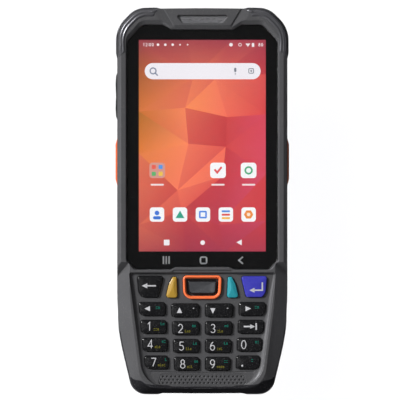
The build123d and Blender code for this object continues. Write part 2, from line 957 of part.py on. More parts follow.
def cover_hinge_y():
    """Pivot line of the socket cover."""
    return -(body_end - cover_hinge_depth)


def cover_recess():
    """Recess for the socket cover, its hinge and the way that it swings."""
    outer = -body_length
    inner = cover_hinge_y() + 0.2
    half = cover_half + gap
    top = cover_hinge_z + cover_height + gap
    cut = block(-half, half, outer, inner, cover_hinge_z, top)
    low = cover_hinge_z - 1.8
    cut += block(-half, half, outer, inner + cover_knuckle_radius, low, cover_hinge_z + 1.0)
    reach = cover_half + gap + cover_pin_length + gap
    cut += rod_x(-reach, reach, cover_hinge_y(), cover_hinge_z, cover_pin_radius + running_gap)
    return cut


def socket_space(grow=0.0):
    """Outer form of the charging socket."""
    face = SlotOverall(socket_width + 2 * grow, socket_height + 2 * grow)
    plane = Plane.XZ.offset(-cover_hinge_y() - 0.6)
    placed = plane * Pos(0, socket_z) * face
    return extrude(placed, amount=-socket_depth)


def rear_housing():
    """Rear shell with the battery bay, the door seat, bosses and ports."""
    shell = rear_form()
    inner = skin([
        (floor_thickness, body_plan(back_round_draw + wall + 0.6)),
        (back_side_z, body_plan(back_side_draw + wall)),
        (seam_z + 0.01, body_plan(wall)),
    ])
    bay_shell = rise(bay_plan(bay_wall), 0, bay_ceiling_z + bay_wall)
    seat = rise(door_plan(2 * gap + bay_wall), 0, door_sink + door_thickness + floor_thickness)
    keeper_half = latch_width / 2
    seat += block(-keeper_half, keeper_half, door_foot_y - latch_tongue - 1.6, door_foot_y,
                  0, door_sink + door_thickness + floor_thickness)
    hinge_half = pin_reach() + 1.0
    seat += block(-hinge_half, hinge_half, door_top_y - 1, hinge_y + 3.2, 0, hinge_z + 3.2)
    kept = bay_shell + seat
    for x, y in screw_places():
        kept += post(x, y, 0, seam_z, boss_radius)
    half = cover_half + gap + cover_pin_length + 1.6
    kept += block(-half, half, -body_length, cover_hinge_y() + 2.2, 0, seam_z)
    kept += block(-socket_width / 2 - 1, socket_width / 2 + 1, -body_length,
                  cover_hinge_y() + socket_depth, 0, socket_z + socket_height / 2 + 1.0)
    kept += block(-window_half - 2, window_half + 2, body_end - 4.4, body_length, 0, seam_z)
    kept += post(camera_x, camera_y, 0, floor_thickness + 1.0, camera_radius + 1.2)
    shell -= inner - kept
    shell -= rise(bay_plan(), -1, bay_ceiling_z)
    shell -= door_hollow()
    shell -= latch_keeper()
    pin = rod_x(-pin_reach(), pin_reach(), hinge_y, hinge_z, pin_radius + 0.02)
    shell -= pin
    for x, y in screw_places():
        shell -= post(x, y, -1, screw_head_z + screw_head_height, screw_head_radius + 0.3)
        shell -= post(x, y, -1, seam_z + 1, screw_radius + 0.1)
    shell -= cover_recess()
    shell -= socket_space(seat_gap)
    shell -= scan_window_cut(seat_gap)
    shell -= block(-engine_half - engine_gap, engine_half + engine_gap,
                   scanner_back_y() - engine_gap, body_end - window_sink,
                   engine_top_z() - engine_height - seat_gap, seam_z + 1)
    shell -= post(camera_x, camera_y, -1, floor_thickness + 2, camera_radius - 0.8)
    shell -= post(camera_x, camera_y, -1, 1.0, camera_radius)
    shell -= post(flash_x, camera_y, -1, floor_thickness + 1, flash_radius)
    for step in range(speaker_slots):
        y = speaker_y + (step - (speaker_slots - 1) / 2) * speaker_slot_pitch
        half_slot = speaker_slot_width / 2
        half_length = speaker_slot_length / 2
        shell -= block(speaker_x - half_length, speaker_x + half_length, y - half_slot,
                       y + half_slot, -1, floor_thickness + 1)
    for x, y in contact_places():
        shell -= block(x - contact_width / 2, x + contact_width / 2, y, y + 3,
                       bay_ceiling_z - contact_low - 2 * contact_gap,
                       bay_ceiling_z - contact_high + 2 * contact_gap)
    for x in cradle_places():
        shell -= post(x, cradle_pad_y, -1, 1.2, cradle_pad_radius + seat_gap)
    shell -= button_cuts()
    return shell - bumper_pockets()


def contact_places():
    """Places of the battery contacts in the bay's upper wall."""
    first = -(contact_count - 1) * contact_pitch / 2
    return [(first + step * contact_pitch, bay_top_y - 0.6) for step in range(contact_count)]


def cradle_places():
    """Places of the cradle pads along X."""
    first = -(cradle_pad_count - 1) * cradle_pad_pitch / 2
    return [first + step * cradle_pad_pitch for step in range(cradle_pad_count)]


def battery_pack():
    """Battery with rounded edges."""
    margin = battery_margin
    low = door_sink + door_thickness + 2 * seat_gap + 0.1
    return rise(bay_plan(-margin), low, bay_ceiling_z - 0.3)


def battery_door():
    """Door with two knuckles on the hinge side and a recess for its latch."""
    low = door_sink
    high = door_sink + door_thickness
    plate = rise(door_plan(), low, high)
    for side in (-1, 1):
        x = side * knuckle_x
        half = knuckle_length / 2
        arm = block(x - half, x + half, door_top_y - 1, hinge_y, low + 0.1, high - 0.05)
        plate += arm + rod_x(x - half, x + half, hinge_y, hinge_z, knuckle_radius)
    plate -= rod_x(-pin_reach(), pin_reach(), hinge_y, hinge_z, pin_radius + running_gap)
    half = latch_width / 2 + gap
    upper = door_foot_y + latch_margin + latch_length + latch_travel + gap
    plate -= block(-half, half, door_foot_y + latch_margin, upper, low - 1, low + latch_thickness
                   + gap)
    tongue = latch_width / 2 - latch_shoulder + gap
    plate -= block(-tongue, tongue, door_foot_y - 1, upper, low - 1, low + latch_thickness + gap)
    return plate


def door_latch():
    """Sliding latch: a ridged thumb plate with a tongue past the door's edge."""
    low = door_sink + 0.05
    high = door_sink + latch_thickness
    half = latch_width / 2
    foot = door_foot_y + latch_margin + gap
    latch = block(-half, half, foot, foot + latch_length - gap, low, high)
    tongue = half - latch_shoulder
    latch += block(-tongue, tongue, door_foot_y - latch_tongue, foot + 1, low, high)
    for step in range(latch_ridges):
        y = foot + latch_shoulder + step * latch_ridge_pitch
        latch -= block(-tongue, tongue, y, y + latch_ridge_width, low - 1,
                       low + latch_ridge_depth)
    return latch


def door_pin():
    """Steel hinge pin of the battery door."""
    return rod_x(-pin_reach() + 0.1, pin_reach() - 0.1, hinge_y, hinge_z, pin_radius)


def trigger():
    """Right-hand scan trigger with tapered ends and a flange behind the wall."""
    half = trigger_length / 2
    rise_half = trigger_height / 2
    inner = half_width - wall - gap
    outer = half_width + trigger_proud
    points = [
        (inner, -half), (half_width - trigger_edge, -half), (outer, -half + trigger_ramp),
        (outer, half - trigger_ramp), (half_width - trigger_edge, half), (inner, half),
    ]
    face = polygon(points, [0, 0.4, 3, 3, 0.4, 0])
    low = side_button_z - rise_half
    body = Pos(0, trigger_centre_y, low) * extrude(face, amount=trigger_height)
    body += side_flange_plate(trigger_centre_y, trigger_length, trigger_height)
    return body


def side_flange_plate(centre_y, length, height):
    """Retaining flange of a right-hand side button."""
    reach = length / 2 + side_flange
    rise_half = height / 2 + side_flange
    outer = half_width - wall - 0.1
    return block(outer - side_flange_thickness, outer, centre_y - reach, centre_y + reach,
                 side_button_z - rise_half, side_button_z + rise_half)


def power_button():
    """Flush power button on the right-hand side."""
    half = power_length / 2
    rise_half = power_height / 2
    body = block(half_width - wall - 0.2, half_width - power_sink, rocker_centre_y - half,
                 rocker_centre_y + half, side_button_z - rise_half, side_button_z + rise_half)
    body = fillet(body.edges().filter_by(Axis.X), power_corner)
    return body + side_flange_plate(rocker_centre_y, power_length, power_height)


def volume_rocker():
    """Rocker with two bumps on a central pivot; made on the right, then mirrored."""
    half = rocker_length / 2
    rise_half = rocker_height / 2
    inner = half_width - rocker_depth
    outer = half_width + rocker_proud
    bump = outer + rocker_bump
    points = [
        (inner, -half),
        (half_width, -half),
        (outer, -half + rocker_ramp),
        (bump, -rocker_bump_offset),
        (outer, 0),
        (bump, rocker_bump_offset),
        (outer, half - rocker_ramp),
        (half_width, half),
        (inner, half),
    ]
    face = polygon(points, [0, 0.5, 1, 6, 6, 6, 1, 0.5, 0])
    low = side_button_z - rise_half
    body = Pos(0, rocker_centre_y, low) * extrude(face, amount=rocker_height)
    reach = rise_half + gap + rocker_pivot_reach - 0.1
    body += post(rocker_axis_x(), rocker_centre_y, side_button_z - reach, side_button_z + reach,
                 rocker_pivot_radius)
    return flip(body)


def side_switches():
    """Tact switches on strips of flexible board behind the side buttons."""
    places = [
        (1, trigger_centre_y, trigger_length), (-1, trigger_centre_y, trigger_length),
        (1, rocker_centre_y, power_length),
    ]
    outer = half_width - wall - switch_gap - side_flange_thickness - trigger_travel - switch_gap
    low = side_button_z - switch_half_height
    high = side_button_z + switch_half_height
    group = []
    for side, y, length in places:
        base = block(outer - switch_thickness, outer, y - length / 3, y + length / 3, low, high)
        group.append(base if side > 0 else flip(base))
    rocker_outer = half_width - rocker_depth - rocker_switch_gap
    for y in (rocker_centre_y - rocker_switch_offset, rocker_centre_y + rocker_switch_offset):
        base = block(rocker_outer - switch_thickness, rocker_outer, y - switch_half_height,
                     y + switch_half_height, low, high)
        group.append(flip(base))
    return Compound(children=group)


def usb_cover():
    """Flap over the charging socket with pins that snap into the housing."""
    y = cover_hinge_y()
    high = cover_hinge_z + cover_height
    outer = -(body_end - 0.1)
    plate = block(-cover_half, cover_half, outer, outer + cover_thickness, cover_hinge_z, high)
    plate = fillet(plate.edges().filter_by(Axis.Y).sort_by(Axis.Z)[-2:], 1.2)
    barrel = rod_x(-cover_half, cover_half, y, cover_hinge_z, cover_knuckle_radius)
    reach = cover_half + gap + cover_pin_length
    pins = rod_x(-reach, reach, y, cover_hinge_z, cover_pin_radius)
    return plate + barrel + pins


def usb_port():
    """Metal socket with its tongue."""
    plane = Plane.XZ.offset(-cover_hinge_y() - 0.6)
    outer = plane * Pos(0, socket_z) * SlotOverall(socket_width, socket_height)
    inner = plane * Pos(0, socket_z) * SlotOverall(
        socket_width - 2 * socket_wall, socket_height - 2 * socket_wall)
    body = extrude(outer, amount=-socket_depth + 0.1)
    body -= extrude(inner, amount=-socket_depth + 1.1)
    start = cover_hinge_y() + 1.4
    tongue = block(-socket_width / 2 + 1.6, socket_width / 2 - 1.6, start,
                   start + socket_depth - 1.5, socket_z - 0.35, socket_z + 0.35)
    return body + tongue


def housing_screws():
    """Six screws from the back, as separate solids."""
    screws = []
    for x, y in screw_places():
        head = post(x, y, screw_head_z, screw_head_z + screw_head_height, screw_head_radius)
        for length, width in ((screw_cross, screw_cross_width), (screw_cross_width, screw_cross)):
            head -= block(x - length / 2, x + length / 2, y - width / 2, y + width / 2,
                          screw_head_z - 1, screw_head_z + screw_cross_depth)
        shank = post(x, y, screw_head_z + screw_head_height, screw_top_z, screw_radius)
        screws.append(head + shank)
    return Compound(children=screws)


def cover_glass():
    """Cover glass with chamfered upper edge."""
    glass = rise(glass_plan(), glass_under_z, glass_z)
    return chamfer(glass.faces().sort_by(Axis.Z)[-1].edges(), glass_chamfer)


def display_gasket():
    """Adhesive gasket between the glass and the housing's ledge."""
    return rise(glass_plan(-0.1) - display_window(), ledge_z + 0.02, glass_under_z - 0.02)


def display_module():
    """Liquid crystal display with its backlight."""
    half = display_width / 2
    length = display_length / 2
    return block(-half, half, display_centre_y - length, display_centre_y + length,
                 display_under_z, display_top_z)


def mid_frame():
    """Stepped inner frame: a tray under the display and a shelf under the keypad."""
    half = display_width / 2 - 1.0
    tray_top = display_under_z - seat_gap
    tray = block(-half, half, display_centre_y - display_length / 2 + 0.5,
                 display_centre_y + display_length / 2 - 1.0, tray_top - 1.2, tray_top)
    shelf_top = board_under_z - seat_gap
    step_y = display_centre_y - display_length / 2 + 0.5
    shelf_half = keypad_foot_half - keypad_board_margin - 1.0
    shelf_foot = keypad_foot_y + keypad_board_margin + 4.5
    shelf = block(-shelf_half, shelf_half, shelf_foot, step_y + 1.2, shelf_top - 1.2, shelf_top)
    web = block(-shelf_half, shelf_half, step_y, step_y + 1.2, shelf_top - 1.2, tray_top)
    frame = tray + shelf + web
    for x in (-shelf_half + 2, shelf_half - 2):
        for y in (shelf_foot + 4, step_y - 4, display_centre_y + display_length / 4):
            top = shelf_top if y < step_y else tray_top - 1.0
            frame += post(x, y, main_board_top() + seat_gap, top - 0.2, 1.6)
    return frame


def main_board_top():
    """Upper face of the main board."""
    return bay_ceiling_z + bay_wall + seat_gap + board_thickness


def main_board():
    """Main circuit board over the battery bay, with shielding cans."""
    high = main_board_top()
    low = high - board_thickness
    top_y = scanner_back_y() - board_to_scanner
    foot_y = bay_foot_y - board_margin
    board = rise(loop([(bay_width / 2, top_y), (bay_width / 2, foot_y)], [board_corner] * 2),
                 low, high)
    cans = ((top_y - upper_can_drop, upper_can_length), (foot_y + lower_can_rise, lower_can_length))
    for y, length in cans:
        board += block(can_x - can_width / 2, can_x + can_width / 2, y - length / 2,
                       y + length / 2, high - 0.2, high + can_height)
    return board


def keypad_board():
    """Circuit board under the keys."""
    return rise(board_plan(), board_under_z, board_top_z)


def board_plan(grow=0.0):
    """Outline of the keypad board and its mat."""
    margin = keypad_board_margin - grow
    right = [
        (keypad_top_half - margin + 0.6, keypad_top_y - 0.8 + grow),
        (keypad_foot_half - margin + 0.4, keypad_foot_y + 6.0 - grow),
    ]
    return loop(right, [1.5, 2.5])


def keypad_mat():
    """Silicone mat with a low actuator pad under every key."""
    mat = rise(board_plan(0.3), board_top_z + 0.02, mat_top_z)
    return mat


def scan_key_ring():
    """Raised ring round the scan key."""
    low = plate_z - scan_ring_sink + seat_gap
    points, radii = scan_outline()
    ring = rise(polygon(points, radii), low, key_top_z)
    ring = fillet(ring.faces().sort_by(Axis.Z)[-1].edges(), scan_ring_edge)
    inner_points, inner_radii = scan_outline(-scan_ring_width)
    ring -= rise(polygon(inner_points, inner_radii), low - 1, key_top_z + 1)
    return ring


def scan_window():
    """Dark window of the scanner."""
    y = body_end - window_sink
    return block(-window_half, window_half, y - window_thickness, y, window_low_z, window_high_z)


def scan_engine():
    """Scan engine: a block with a lens barrel and an aimer facing the window."""
    y = scanner_back_y()
    high = engine_top_z()
    low = high - engine_height
    body = block(-engine_half, engine_half, y, y + engine_depth, low, high)
    middle = (low + high) / 2
    for x, radius in ((lens_x, lens_radius), (aimer_x, aimer_radius)):
        bore = Cylinder(radius, 2 * lens_depth)
        body -= Pos(x, y + engine_depth, middle) * Rot(90, 0, 0) * bore
    return body


def camera_module():
    """Camera behind its window."""
    half = camera_module_size / 2
    body = block(camera_x - half, camera_x + half, camera_y - half, camera_y + half,
                 floor_thickness + 1.0 + seat_gap, floor_thickness + 4.4)
    return body + post(camera_x, camera_y, 1.3, floor_thickness + 1.4, camera_radius - 1.0)


def camera_window():
    """Round window over the camera."""
    return post(camera_x, camera_y, 0.1, 1.0 - seat_gap, camera_radius - seat_gap)


def flash_lens():
    """Round diffuser over the flash."""
    return post(flash_x, camera_y, 0.1, floor_thickness + 0.4, flash_radius - seat_gap)


def loudspeaker():
    """Speaker box behind the rear slots."""
    half = speaker_width / 2
    length = speaker_length / 2
    low = floor_thickness + seat_gap
    return block(speaker_x - half, speaker_x + half, speaker_y - length, speaker_y + length,
                 low, low + speaker_height)


def earpiece():
    """Earpiece capsule under its grille."""
    high = bezel_z - ear_sink - ear_plate
    margin = ear_ledge + 2 * seat_gap
    return block(-earpiece_half, earpiece_half, ear_foot_y + margin, ear_top_y - margin,
                 high - earpiece_height, high - 0.02)


def vibration_motor():
    """Small motor lying on the rear floor."""
    z = floor_thickness + motor_radius + seat_gap
    return rod_x(motor_x, motor_x + motor_length, camera_y - motor_drop, z, motor_radius)


def battery_contacts():
    """Spring contacts at the upper end of the bay."""
    group = []
    for x, y in contact_places():
        half = contact_width / 2 - contact_gap
        group.append(block(x - half, x + half, y + gap, y + contact_width,
                           bay_ceiling_z - contact_low, bay_ceiling_z - contact_high))
    return Compound(children=group)


def cradle_contacts():
    """Charging pads for a cradle on the back, near the lower end."""
    return Compound(children=[
        post(x, cradle_pad_y, 0.05, 1.15, cradle_pad_radius) for x in cradle_places()])


def bumpers():
    """The four corner bumpers by node name."""
    form = front_form(bumper_proud) + rear_form(bumper_proud)
    top = bumper(True, form)
    foot = bumper(False, form)
    return {
        "bumper_top_right": top,
        "bumper_top_left": flip(top),
        "bumper_bottom_right": foot,
        "bumper_bottom_left": flip(foot),
    }


def all_nodes():
    """Every piece by node name."""
    right_trigger = trigger()
    nodes = {
        "front_housing": front_housing(),
        "rear_housing": rear_housing(),
        "cover_glass": cover_glass(),
        "display_gasket": display_gasket(),
        "display_module": display_module(),
        "mid_frame": mid_frame(),
        "keypad_mat": keypad_mat(),
        "keypad_board": keypad_board(),
        "main_board": main_board(),
        "scan_key_ring": scan_key_ring(),
        "earpiece_grille": earpiece_grille(),
        "earpiece": earpiece(),
        "microphone_strip": microphone_strip(),
        "scan_window": scan_window(),
        "scan_engine": scan_engine(),
        "camera_window": camera_window(),
        "camera_module": camera_module(),
        "flash_lens": flash_lens(),
        "loudspeaker": loudspeaker(),
        "vibration_motor": vibration_motor(),
        "usb_port": usb_port(),
        "usb_cover": usb_cover(),
        "housing_screws": housing_screws(),
        "battery_contacts": battery_contacts(),
        "cradle_contacts": cradle_contacts(),
        "side_switches": side_switches(),
        "battery_pack": battery_pack(),
        "battery_door": battery_door(),
        "door_pin": door_pin(),
        "door_latch": door_latch(),
        "right_trigger": right_trigger,
        "left_trigger": flip(right_trigger),
        "volume_rocker": volume_rocker(),
        "power_button": power_button(),
    }
    nodes.update(bumpers())
    for name, (points, radii) in key_table().items():
        nodes[name] = key(points, radii)
    return nodes


def main():
    """Write one file per piece."""
    nodes = all_nodes()
    for name, solid in nodes.items():
        export_step(solid, f"parts/{name}.step")
    print(len(nodes), "nodes")


if __name__ == "__main__":
    main()
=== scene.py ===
import json
import math
import random

import bmesh
import bpy
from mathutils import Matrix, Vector
from mathutils.bvhtree import BVHTree

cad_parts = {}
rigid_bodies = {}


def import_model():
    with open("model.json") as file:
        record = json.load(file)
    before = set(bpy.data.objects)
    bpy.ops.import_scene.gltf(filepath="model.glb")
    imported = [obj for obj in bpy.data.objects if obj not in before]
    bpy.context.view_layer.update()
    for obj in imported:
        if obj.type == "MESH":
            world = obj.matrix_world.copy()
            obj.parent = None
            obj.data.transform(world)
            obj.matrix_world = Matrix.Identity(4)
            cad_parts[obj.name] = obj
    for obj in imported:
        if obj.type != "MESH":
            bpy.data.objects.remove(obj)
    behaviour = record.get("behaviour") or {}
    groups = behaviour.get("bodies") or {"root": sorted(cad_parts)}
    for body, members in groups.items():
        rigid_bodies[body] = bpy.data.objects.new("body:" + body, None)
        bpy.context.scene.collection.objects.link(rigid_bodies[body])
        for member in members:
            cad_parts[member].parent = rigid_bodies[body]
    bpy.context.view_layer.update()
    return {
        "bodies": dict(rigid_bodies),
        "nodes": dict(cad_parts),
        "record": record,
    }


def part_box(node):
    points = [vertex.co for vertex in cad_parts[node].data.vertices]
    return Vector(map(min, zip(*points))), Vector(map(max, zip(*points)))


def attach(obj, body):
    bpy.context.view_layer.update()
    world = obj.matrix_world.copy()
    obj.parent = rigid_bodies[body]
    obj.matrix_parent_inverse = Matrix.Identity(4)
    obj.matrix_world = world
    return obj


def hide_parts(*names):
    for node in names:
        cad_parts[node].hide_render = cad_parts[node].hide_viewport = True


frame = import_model()
nodes = frame["nodes"]
slots = {part["node"]: part["material_slot"] for part in frame["record"]["subparts"]}
scene = bpy.context.scene
mm = 0.001
down = Vector((0, 0, -1))
above, beside = 0.05, 0.06    # rays to the surfaces start from here, in metres
print("frame loaded,", len(nodes), "nodes")


def paint(red, green, blue):
    # a colour as the eye reads it, 0 to 255, turned to linear light
    def linear(value):
        value /= 255
        return value / 12.92 if value <= 0.04045 else ((value + 0.055) / 1.055) ** 2.4
    return (linear(red), linear(green), linear(blue), 1.0)


def shade(colour, factor):
    return tuple(min(1.0, part * factor) for part in colour[:3]) + (1.0,)


def feed(tree, node, values):
    # a value is a number, a colour, a socket, or a node that stands for its first output
    for key, value in values.items():
        if isinstance(value, bpy.types.Node):
            value = value.outputs[0]
        if isinstance(value, bpy.types.NodeSocket):
            tree.links.new(value, node.inputs[key])
        else:
            node.inputs[key].default_value = value


def addNode(tree, kind, values=None, **settings):
    node = tree.nodes.new(kind)
    for name, value in settings.items():
        setattr(node, name, value)
    feed(tree, node, values or {})
    return node


def calc(tree, operation, first, second, clamp=False):
    return addNode(tree, "ShaderNodeMath", {0: first, 1: second}, operation=operation, use_clamp=clamp)


def remap(tree, value, low, high, toLow=0.0, toHigh=1.0):
    return addNode(tree, "ShaderNodeMapRange", {
        "Value": value, "From Min": low, "From Max": high, "To Min": toLow, "To Max": toHigh})


def noise(tree, place, scale, detail, **more):
    return addNode(tree, "ShaderNodeTexNoise", {"Vector": place, "Scale": scale, "Detail": detail, **more})


def objectPlace(tree):
    return addNode(tree, "ShaderNodeTexCoord").outputs["Object"]


def mixColours(tree, factor, first, second):
    return addNode(tree, "ShaderNodeMix", {0: factor, 6: first, 7: second}, data_type="RGBA").outputs[2]


def emptyTree(owner):
    owner.use_nodes = True
    owner.node_tree.nodes.clear()
    return owner.node_tree


def newTree(kind, name, inputs, outputs):
    # node group, the sockets of its input node, and its output node; an input is a number,
    # or the kind of its socket and a value
    tree = bpy.data.node_groups.new(name, kind + "NodeTree")
    for label, value in inputs.items():
        socketKind, start = value if isinstance(value, tuple) else ("Float", value)
        socket = tree.interface.new_socket(label, in_out="INPUT", socket_type="NodeSocket" + socketKind)
        if start is not None:
            socket.default_value = start
    for label, socketKind in outputs.items():
        tree.interface.new_socket(label, in_out="OUTPUT", socket_type="NodeSocket" + socketKind)
    return tree, tree.nodes.new("NodeGroupInput").outputs, tree.nodes.new("NodeGroupOutput")


def makeMouldedGrain():
    # spark-eroded tool texture: fine cells and slow blotches, sizes in millimetres
    tree, start, end = newTree("Shader", "mouldedGrain", {"Cell": 0.3, "Blotch size": 14.0},
                               {"Height": "Float", "Fleck": "Float", "Blotch": "Float"})
    place = addNode(tree, "ShaderNodeVectorMath", {0: objectPlace(tree), 3: 1 / mm}, operation="SCALE")
    fineScale = calc(tree, "DIVIDE", 1.0, start["Cell"])
    cells = addNode(tree, "ShaderNodeTexVoronoi", {"Vector": place, "Scale": fineScale}, feature="SMOOTH_F1")
    fine = noise(tree, place, fineScale, 3.0, Roughness=0.6)
    slow = noise(tree, place, calc(tree, "DIVIDE", 1.0, start["Blotch size"]), 2.0)
    feed(tree, end, {"Height": calc(tree, "ADD", cells, fine), "Fleck": fine, "Blotch": slow})
    return tree


def makeSoftEdge():
    # rounds hard edges for the light, and marks them for a paler colour, partly where hands polish them and
    # partly a painted highlight
    tree, start, end = newTree("Shader", "softEdge", {"Radius": 0.25, "Gain": 3.0},
                               {"Normal": "Vector", "Edge": "Float"})
    radius = calc(tree, "MULTIPLY", start["Radius"], mm)
    bevel = addNode(tree, "ShaderNodeBevel", {"Radius": radius}, samples=6)
    surface = addNode(tree, "ShaderNodeNewGeometry").outputs["Normal"]
    same = addNode(tree, "ShaderNodeVectorMath", {0: bevel, 1: surface}, operation="DOT_PRODUCT")
    turned = calc(tree, "SUBTRACT", 1.0, same.outputs["Value"])
    patchy = noise(tree, objectPlace(tree), 420.0, 3.0)
    strength = calc(tree, "MULTIPLY", turned, start["Gain"])
    feed(tree, end, {"Normal": bevel, "Edge": calc(tree, "MULTIPLY", strength, patchy, True)})
    return tree


def makeFineDust():
    # scattered specks that lie in drifts
    tree, start, end = newTree("Shader", "fineDust", {"Speck": 0.5, "Amount": 0.3}, {"Mask": "Float"})
    place = objectPlace(tree)
    specks = noise(tree, place, calc(tree, "DIVIDE", 1 / mm, start["Speck"]), 1.0)
    drifting = calc(tree, "MULTIPLY", remap(tree, specks, 0.6, 0.74), noise(tree, place, 70.0, 2.0))
    feed(tree, end, {"Mask": calc(tree, "MULTIPLY", drifting, start["Amount"], True)})
    return tree


def makeHandSmudge():
    # soft marks of fingers on glossy faces, as a change of roughness
    tree, start, end = newTree("Shader", "handSmudge", {"Size": 9.0, "Low": 0.05, "High": 0.2},
                               {"Roughness": "Float"})
    scale = calc(tree, "DIVIDE", 1 / mm, start["Size"])
    marks = noise(tree, objectPlace(tree), scale, 4.0, Roughness=0.6, Distortion=0.6)
    feed(tree, end, {"Roughness": remap(tree, marks, 0.35, 0.75, start["Low"], start["High"])})
    return tree


mouldedGrain = makeMouldedGrain()
softEdge = makeSoftEdge()
fineDust = makeFineDust()
handSmudge = makeHandSmudge()
print("shared effects made")


def startFinish(name, fixed):
    material = bpy.data.materials.new(name)
    tree = emptyTree(material)
    shader = addNode(tree, "ShaderNodeBsdfPrincipled", fixed)
    addNode(tree, "ShaderNodeOutputMaterial", {"Surface": shader})
    return material, tree, shader


def useGroup(tree, group, values):
    return addNode(tree, "ShaderNodeGroup", values, node_tree=group).outputs


def toneMix(tree, factor, colour, spread):
    return mixColours(tree, factor, shade(colour, 1 - spread), shade(colour, 1 + spread))


def coverColour(tree, look, edge, base, speck, dustTone):
    # paler edges, partly wear and partly a painted highlight, and dust over the base colour
    dust = useGroup(tree, fineDust, {"Speck": speck, "Amount": look["dust"]})
    worn = mixColours(tree, edge["Edge"], base, paint(*look["worn"]))
    return mixColours(tree, dust["Mask"], worn, dustTone)


def mouldedFinish(name, look):
    # moulded plastic or rubber from its settings
    material, tree, shader = startFinish(name, look["fixed"])
    colour = paint(*look["colour"])
    grain = useGroup(tree, mouldedGrain, {"Cell": look["cell"]})
    edge = useGroup(tree, softEdge, {"Radius": look["edge"], "Gain": look["wear"]})
    blotched = toneMix(tree, grain["Blotch"], colour, look.get("spread", 0.1))
    base = mixColours(tree, 0.4, blotched, toneMix(tree, grain["Fleck"], colour, 0.14))
    bump = addNode(tree, "ShaderNodeBump", {
        "Strength": look["depth"], "Distance": 0.05 * mm, "Height": grain["Height"],
        "Normal": edge["Normal"]})
    feed(tree, shader, {
        "Base Color": coverColour(tree, look, edge, base, 0.45, dustColour),
        "Roughness": remap(tree, grain["Blotch"], 0.3, 0.7, *look["roughness"]), "Normal": bump})
    return material


def metalFinish(name, look):
    # bare or plated metal with fine drawn lines along one axis
    material, tree, shader = startFinish(name, {"Metallic": 1.0})
    tone, stretch, edgeRadius, roughness = look
    colour = paint(*tone)
    place = addNode(tree, "ShaderNodeMapping", {"Vector": objectPlace(tree), "Scale": stretch})
    lines = noise(tree, place, 1.0, 3.0)
    edge = useGroup(tree, softEdge, {"Radius": edgeRadius, "Gain": 2.0})
    drawn = toneMix(tree, lines, colour, 0.2)
    # edges paler by 1.6: partly polish, partly a painted highlight
    feed(tree, shader, {
        "Base Color": mixColours(tree, edge["Edge"], drawn, shade(colour, 1.6)),
        "Roughness": remap(tree, lines, 0.3, 0.7, *roughness), "Normal": edge["Normal"]})
    return material


def glossFinish(name, look):
    # glossy cap or window: smudges for the gloss, slight tone change for the body
    material, tree, shader = startFinish(name, look["fixed"])
    low, high = look["roughness"]
    grain = useGroup(tree, mouldedGrain, {"Cell": 1.2, "Blotch size": 5.0})
    edge = useGroup(tree, softEdge, {"Radius": look["edge"], "Gain": look["wear"]})
    smudge = useGroup(tree, handSmudge, {"Size": 4.0, "Low": low, "High": high})
    base = toneMix(tree, grain["Blotch"], paint(*look["colour"]), 0.12)
    feed(tree, shader, {
        "Base Color": coverColour(tree, look, edge, base, 0.35, keyDustColour),
        "Roughness": smudge["Roughness"], "Normal": edge["Normal"]})
    return material


def clearGlass():
    # the touch panel's cover glass
    material, tree, shader = startFinish("coverGlass", {
        "Base Color": (0.97, 0.98, 0.98, 1.0), "Transmission Weight": 1.0, "IOR": 1.45,
        "Specular IOR Level": 0.3})
    smudge = useGroup(tree, handSmudge, {"Size": 16.0, "Low": 0.0, "High": 0.035})
    feed(tree, shader, {"Roughness": smudge["Roughness"]})
    return material


def litPicture():
    # the lit picture: its colours come from the mesh's own tint
    material, tree, shader = startFinish("litPicture", {
        "Base Color": (0.01, 0.01, 0.01, 1.0), "Roughness": 0.4, "Emission Strength": 1.06})
    tint = addNode(tree, "ShaderNodeVertexColor", layer_name="tint")
    light = remap(tree, noise(tree, objectPlace(tree), 30.0, 1.0), 0.0, 1.0, 0.95, 1.08)
    glow = addNode(tree, "ShaderNodeVectorMath", {0: tint, 3: light}, operation="SCALE")
    feed(tree, shader, {"Emission Color": glow})
    return material


def printedInk(name, colour, glow=0.0):
    # screen print: a thin even ink with a slightly uneven cover
    material, tree, shader = startFinish(name, {
        "Roughness": 0.6, "Specular IOR Level": 0.05, "Emission Strength": glow})
    colour = paint(*colour)
    grain = useGroup(tree, mouldedGrain, {"Cell": 0.12, "Blotch size": 1.5})
    cover = mixColours(tree, grain["Fleck"], shade(colour, 0.85), shade(colour, 1.12))
    feed(tree, shader, {"Base Color": cover})
    if glow:
        feed(tree, shader, {"Emission Color": cover})
    return material


def circuitBoard():
    material, tree, shader = startFinish("circuitBoard", {"Roughness": 0.35})
    traces = addNode(tree, "ShaderNodeTexBrick", {
        "Vector": objectPlace(tree), "Color1": paint(16, 96, 62), "Color2": paint(20, 112, 72),
        "Mortar": paint(34, 130, 84), "Scale": 260.0, "Mortar Size": 0.06, "Brick Width": 1.4,
        "Row Height": 0.3})
    edge = useGroup(tree, softEdge, {"Radius": 0.1, "Gain": 1.0})
    feed(tree, shader, {"Base Color": traces, "Normal": edge["Normal"]})
    return material


# colours from 0 to 255, and the paler colour of the edges is partly wear and partly a painted highlight;
# sizes in millimetres: cell of the grain, radius of the softened edges
dustColour = paint(168, 164, 156)
keyDustColour = paint(160, 160, 160)
noMirror = {"Specular IOR Level": 0.0, "Specular Tint": (0.0, 0.0, 0.0, 1.0)}
housingLook = {
    "colour": (85, 85, 87), "worn": (123, 123, 126), "cell": 0.28, "depth": 0.45,
    "edge": 0.55, "wear": 1.4, "dust": 0.25, "roughness": (0.36, 0.46),
    "fixed": {"Metallic": 0.35, **noMirror}}
rearLook = {
    "colour": (88, 88, 92), "worn": (122, 122, 126), "cell": 0.32, "depth": 0.7,
    "edge": 0.3, "wear": 2.2, "dust": 0.3, "roughness": (0.5, 0.62), "fixed": {"Specular IOR Level": 0.1}}
bumperLook = {
    "colour": (74, 74, 78), "worn": (108, 108, 113), "cell": 0.4, "depth": 0.4,
    "edge": 0.4, "wear": 0.8, "dust": 0.2, "roughness": (0.26, 0.36),
    "fixed": {"Metallic": 0.65, **noMirror}}
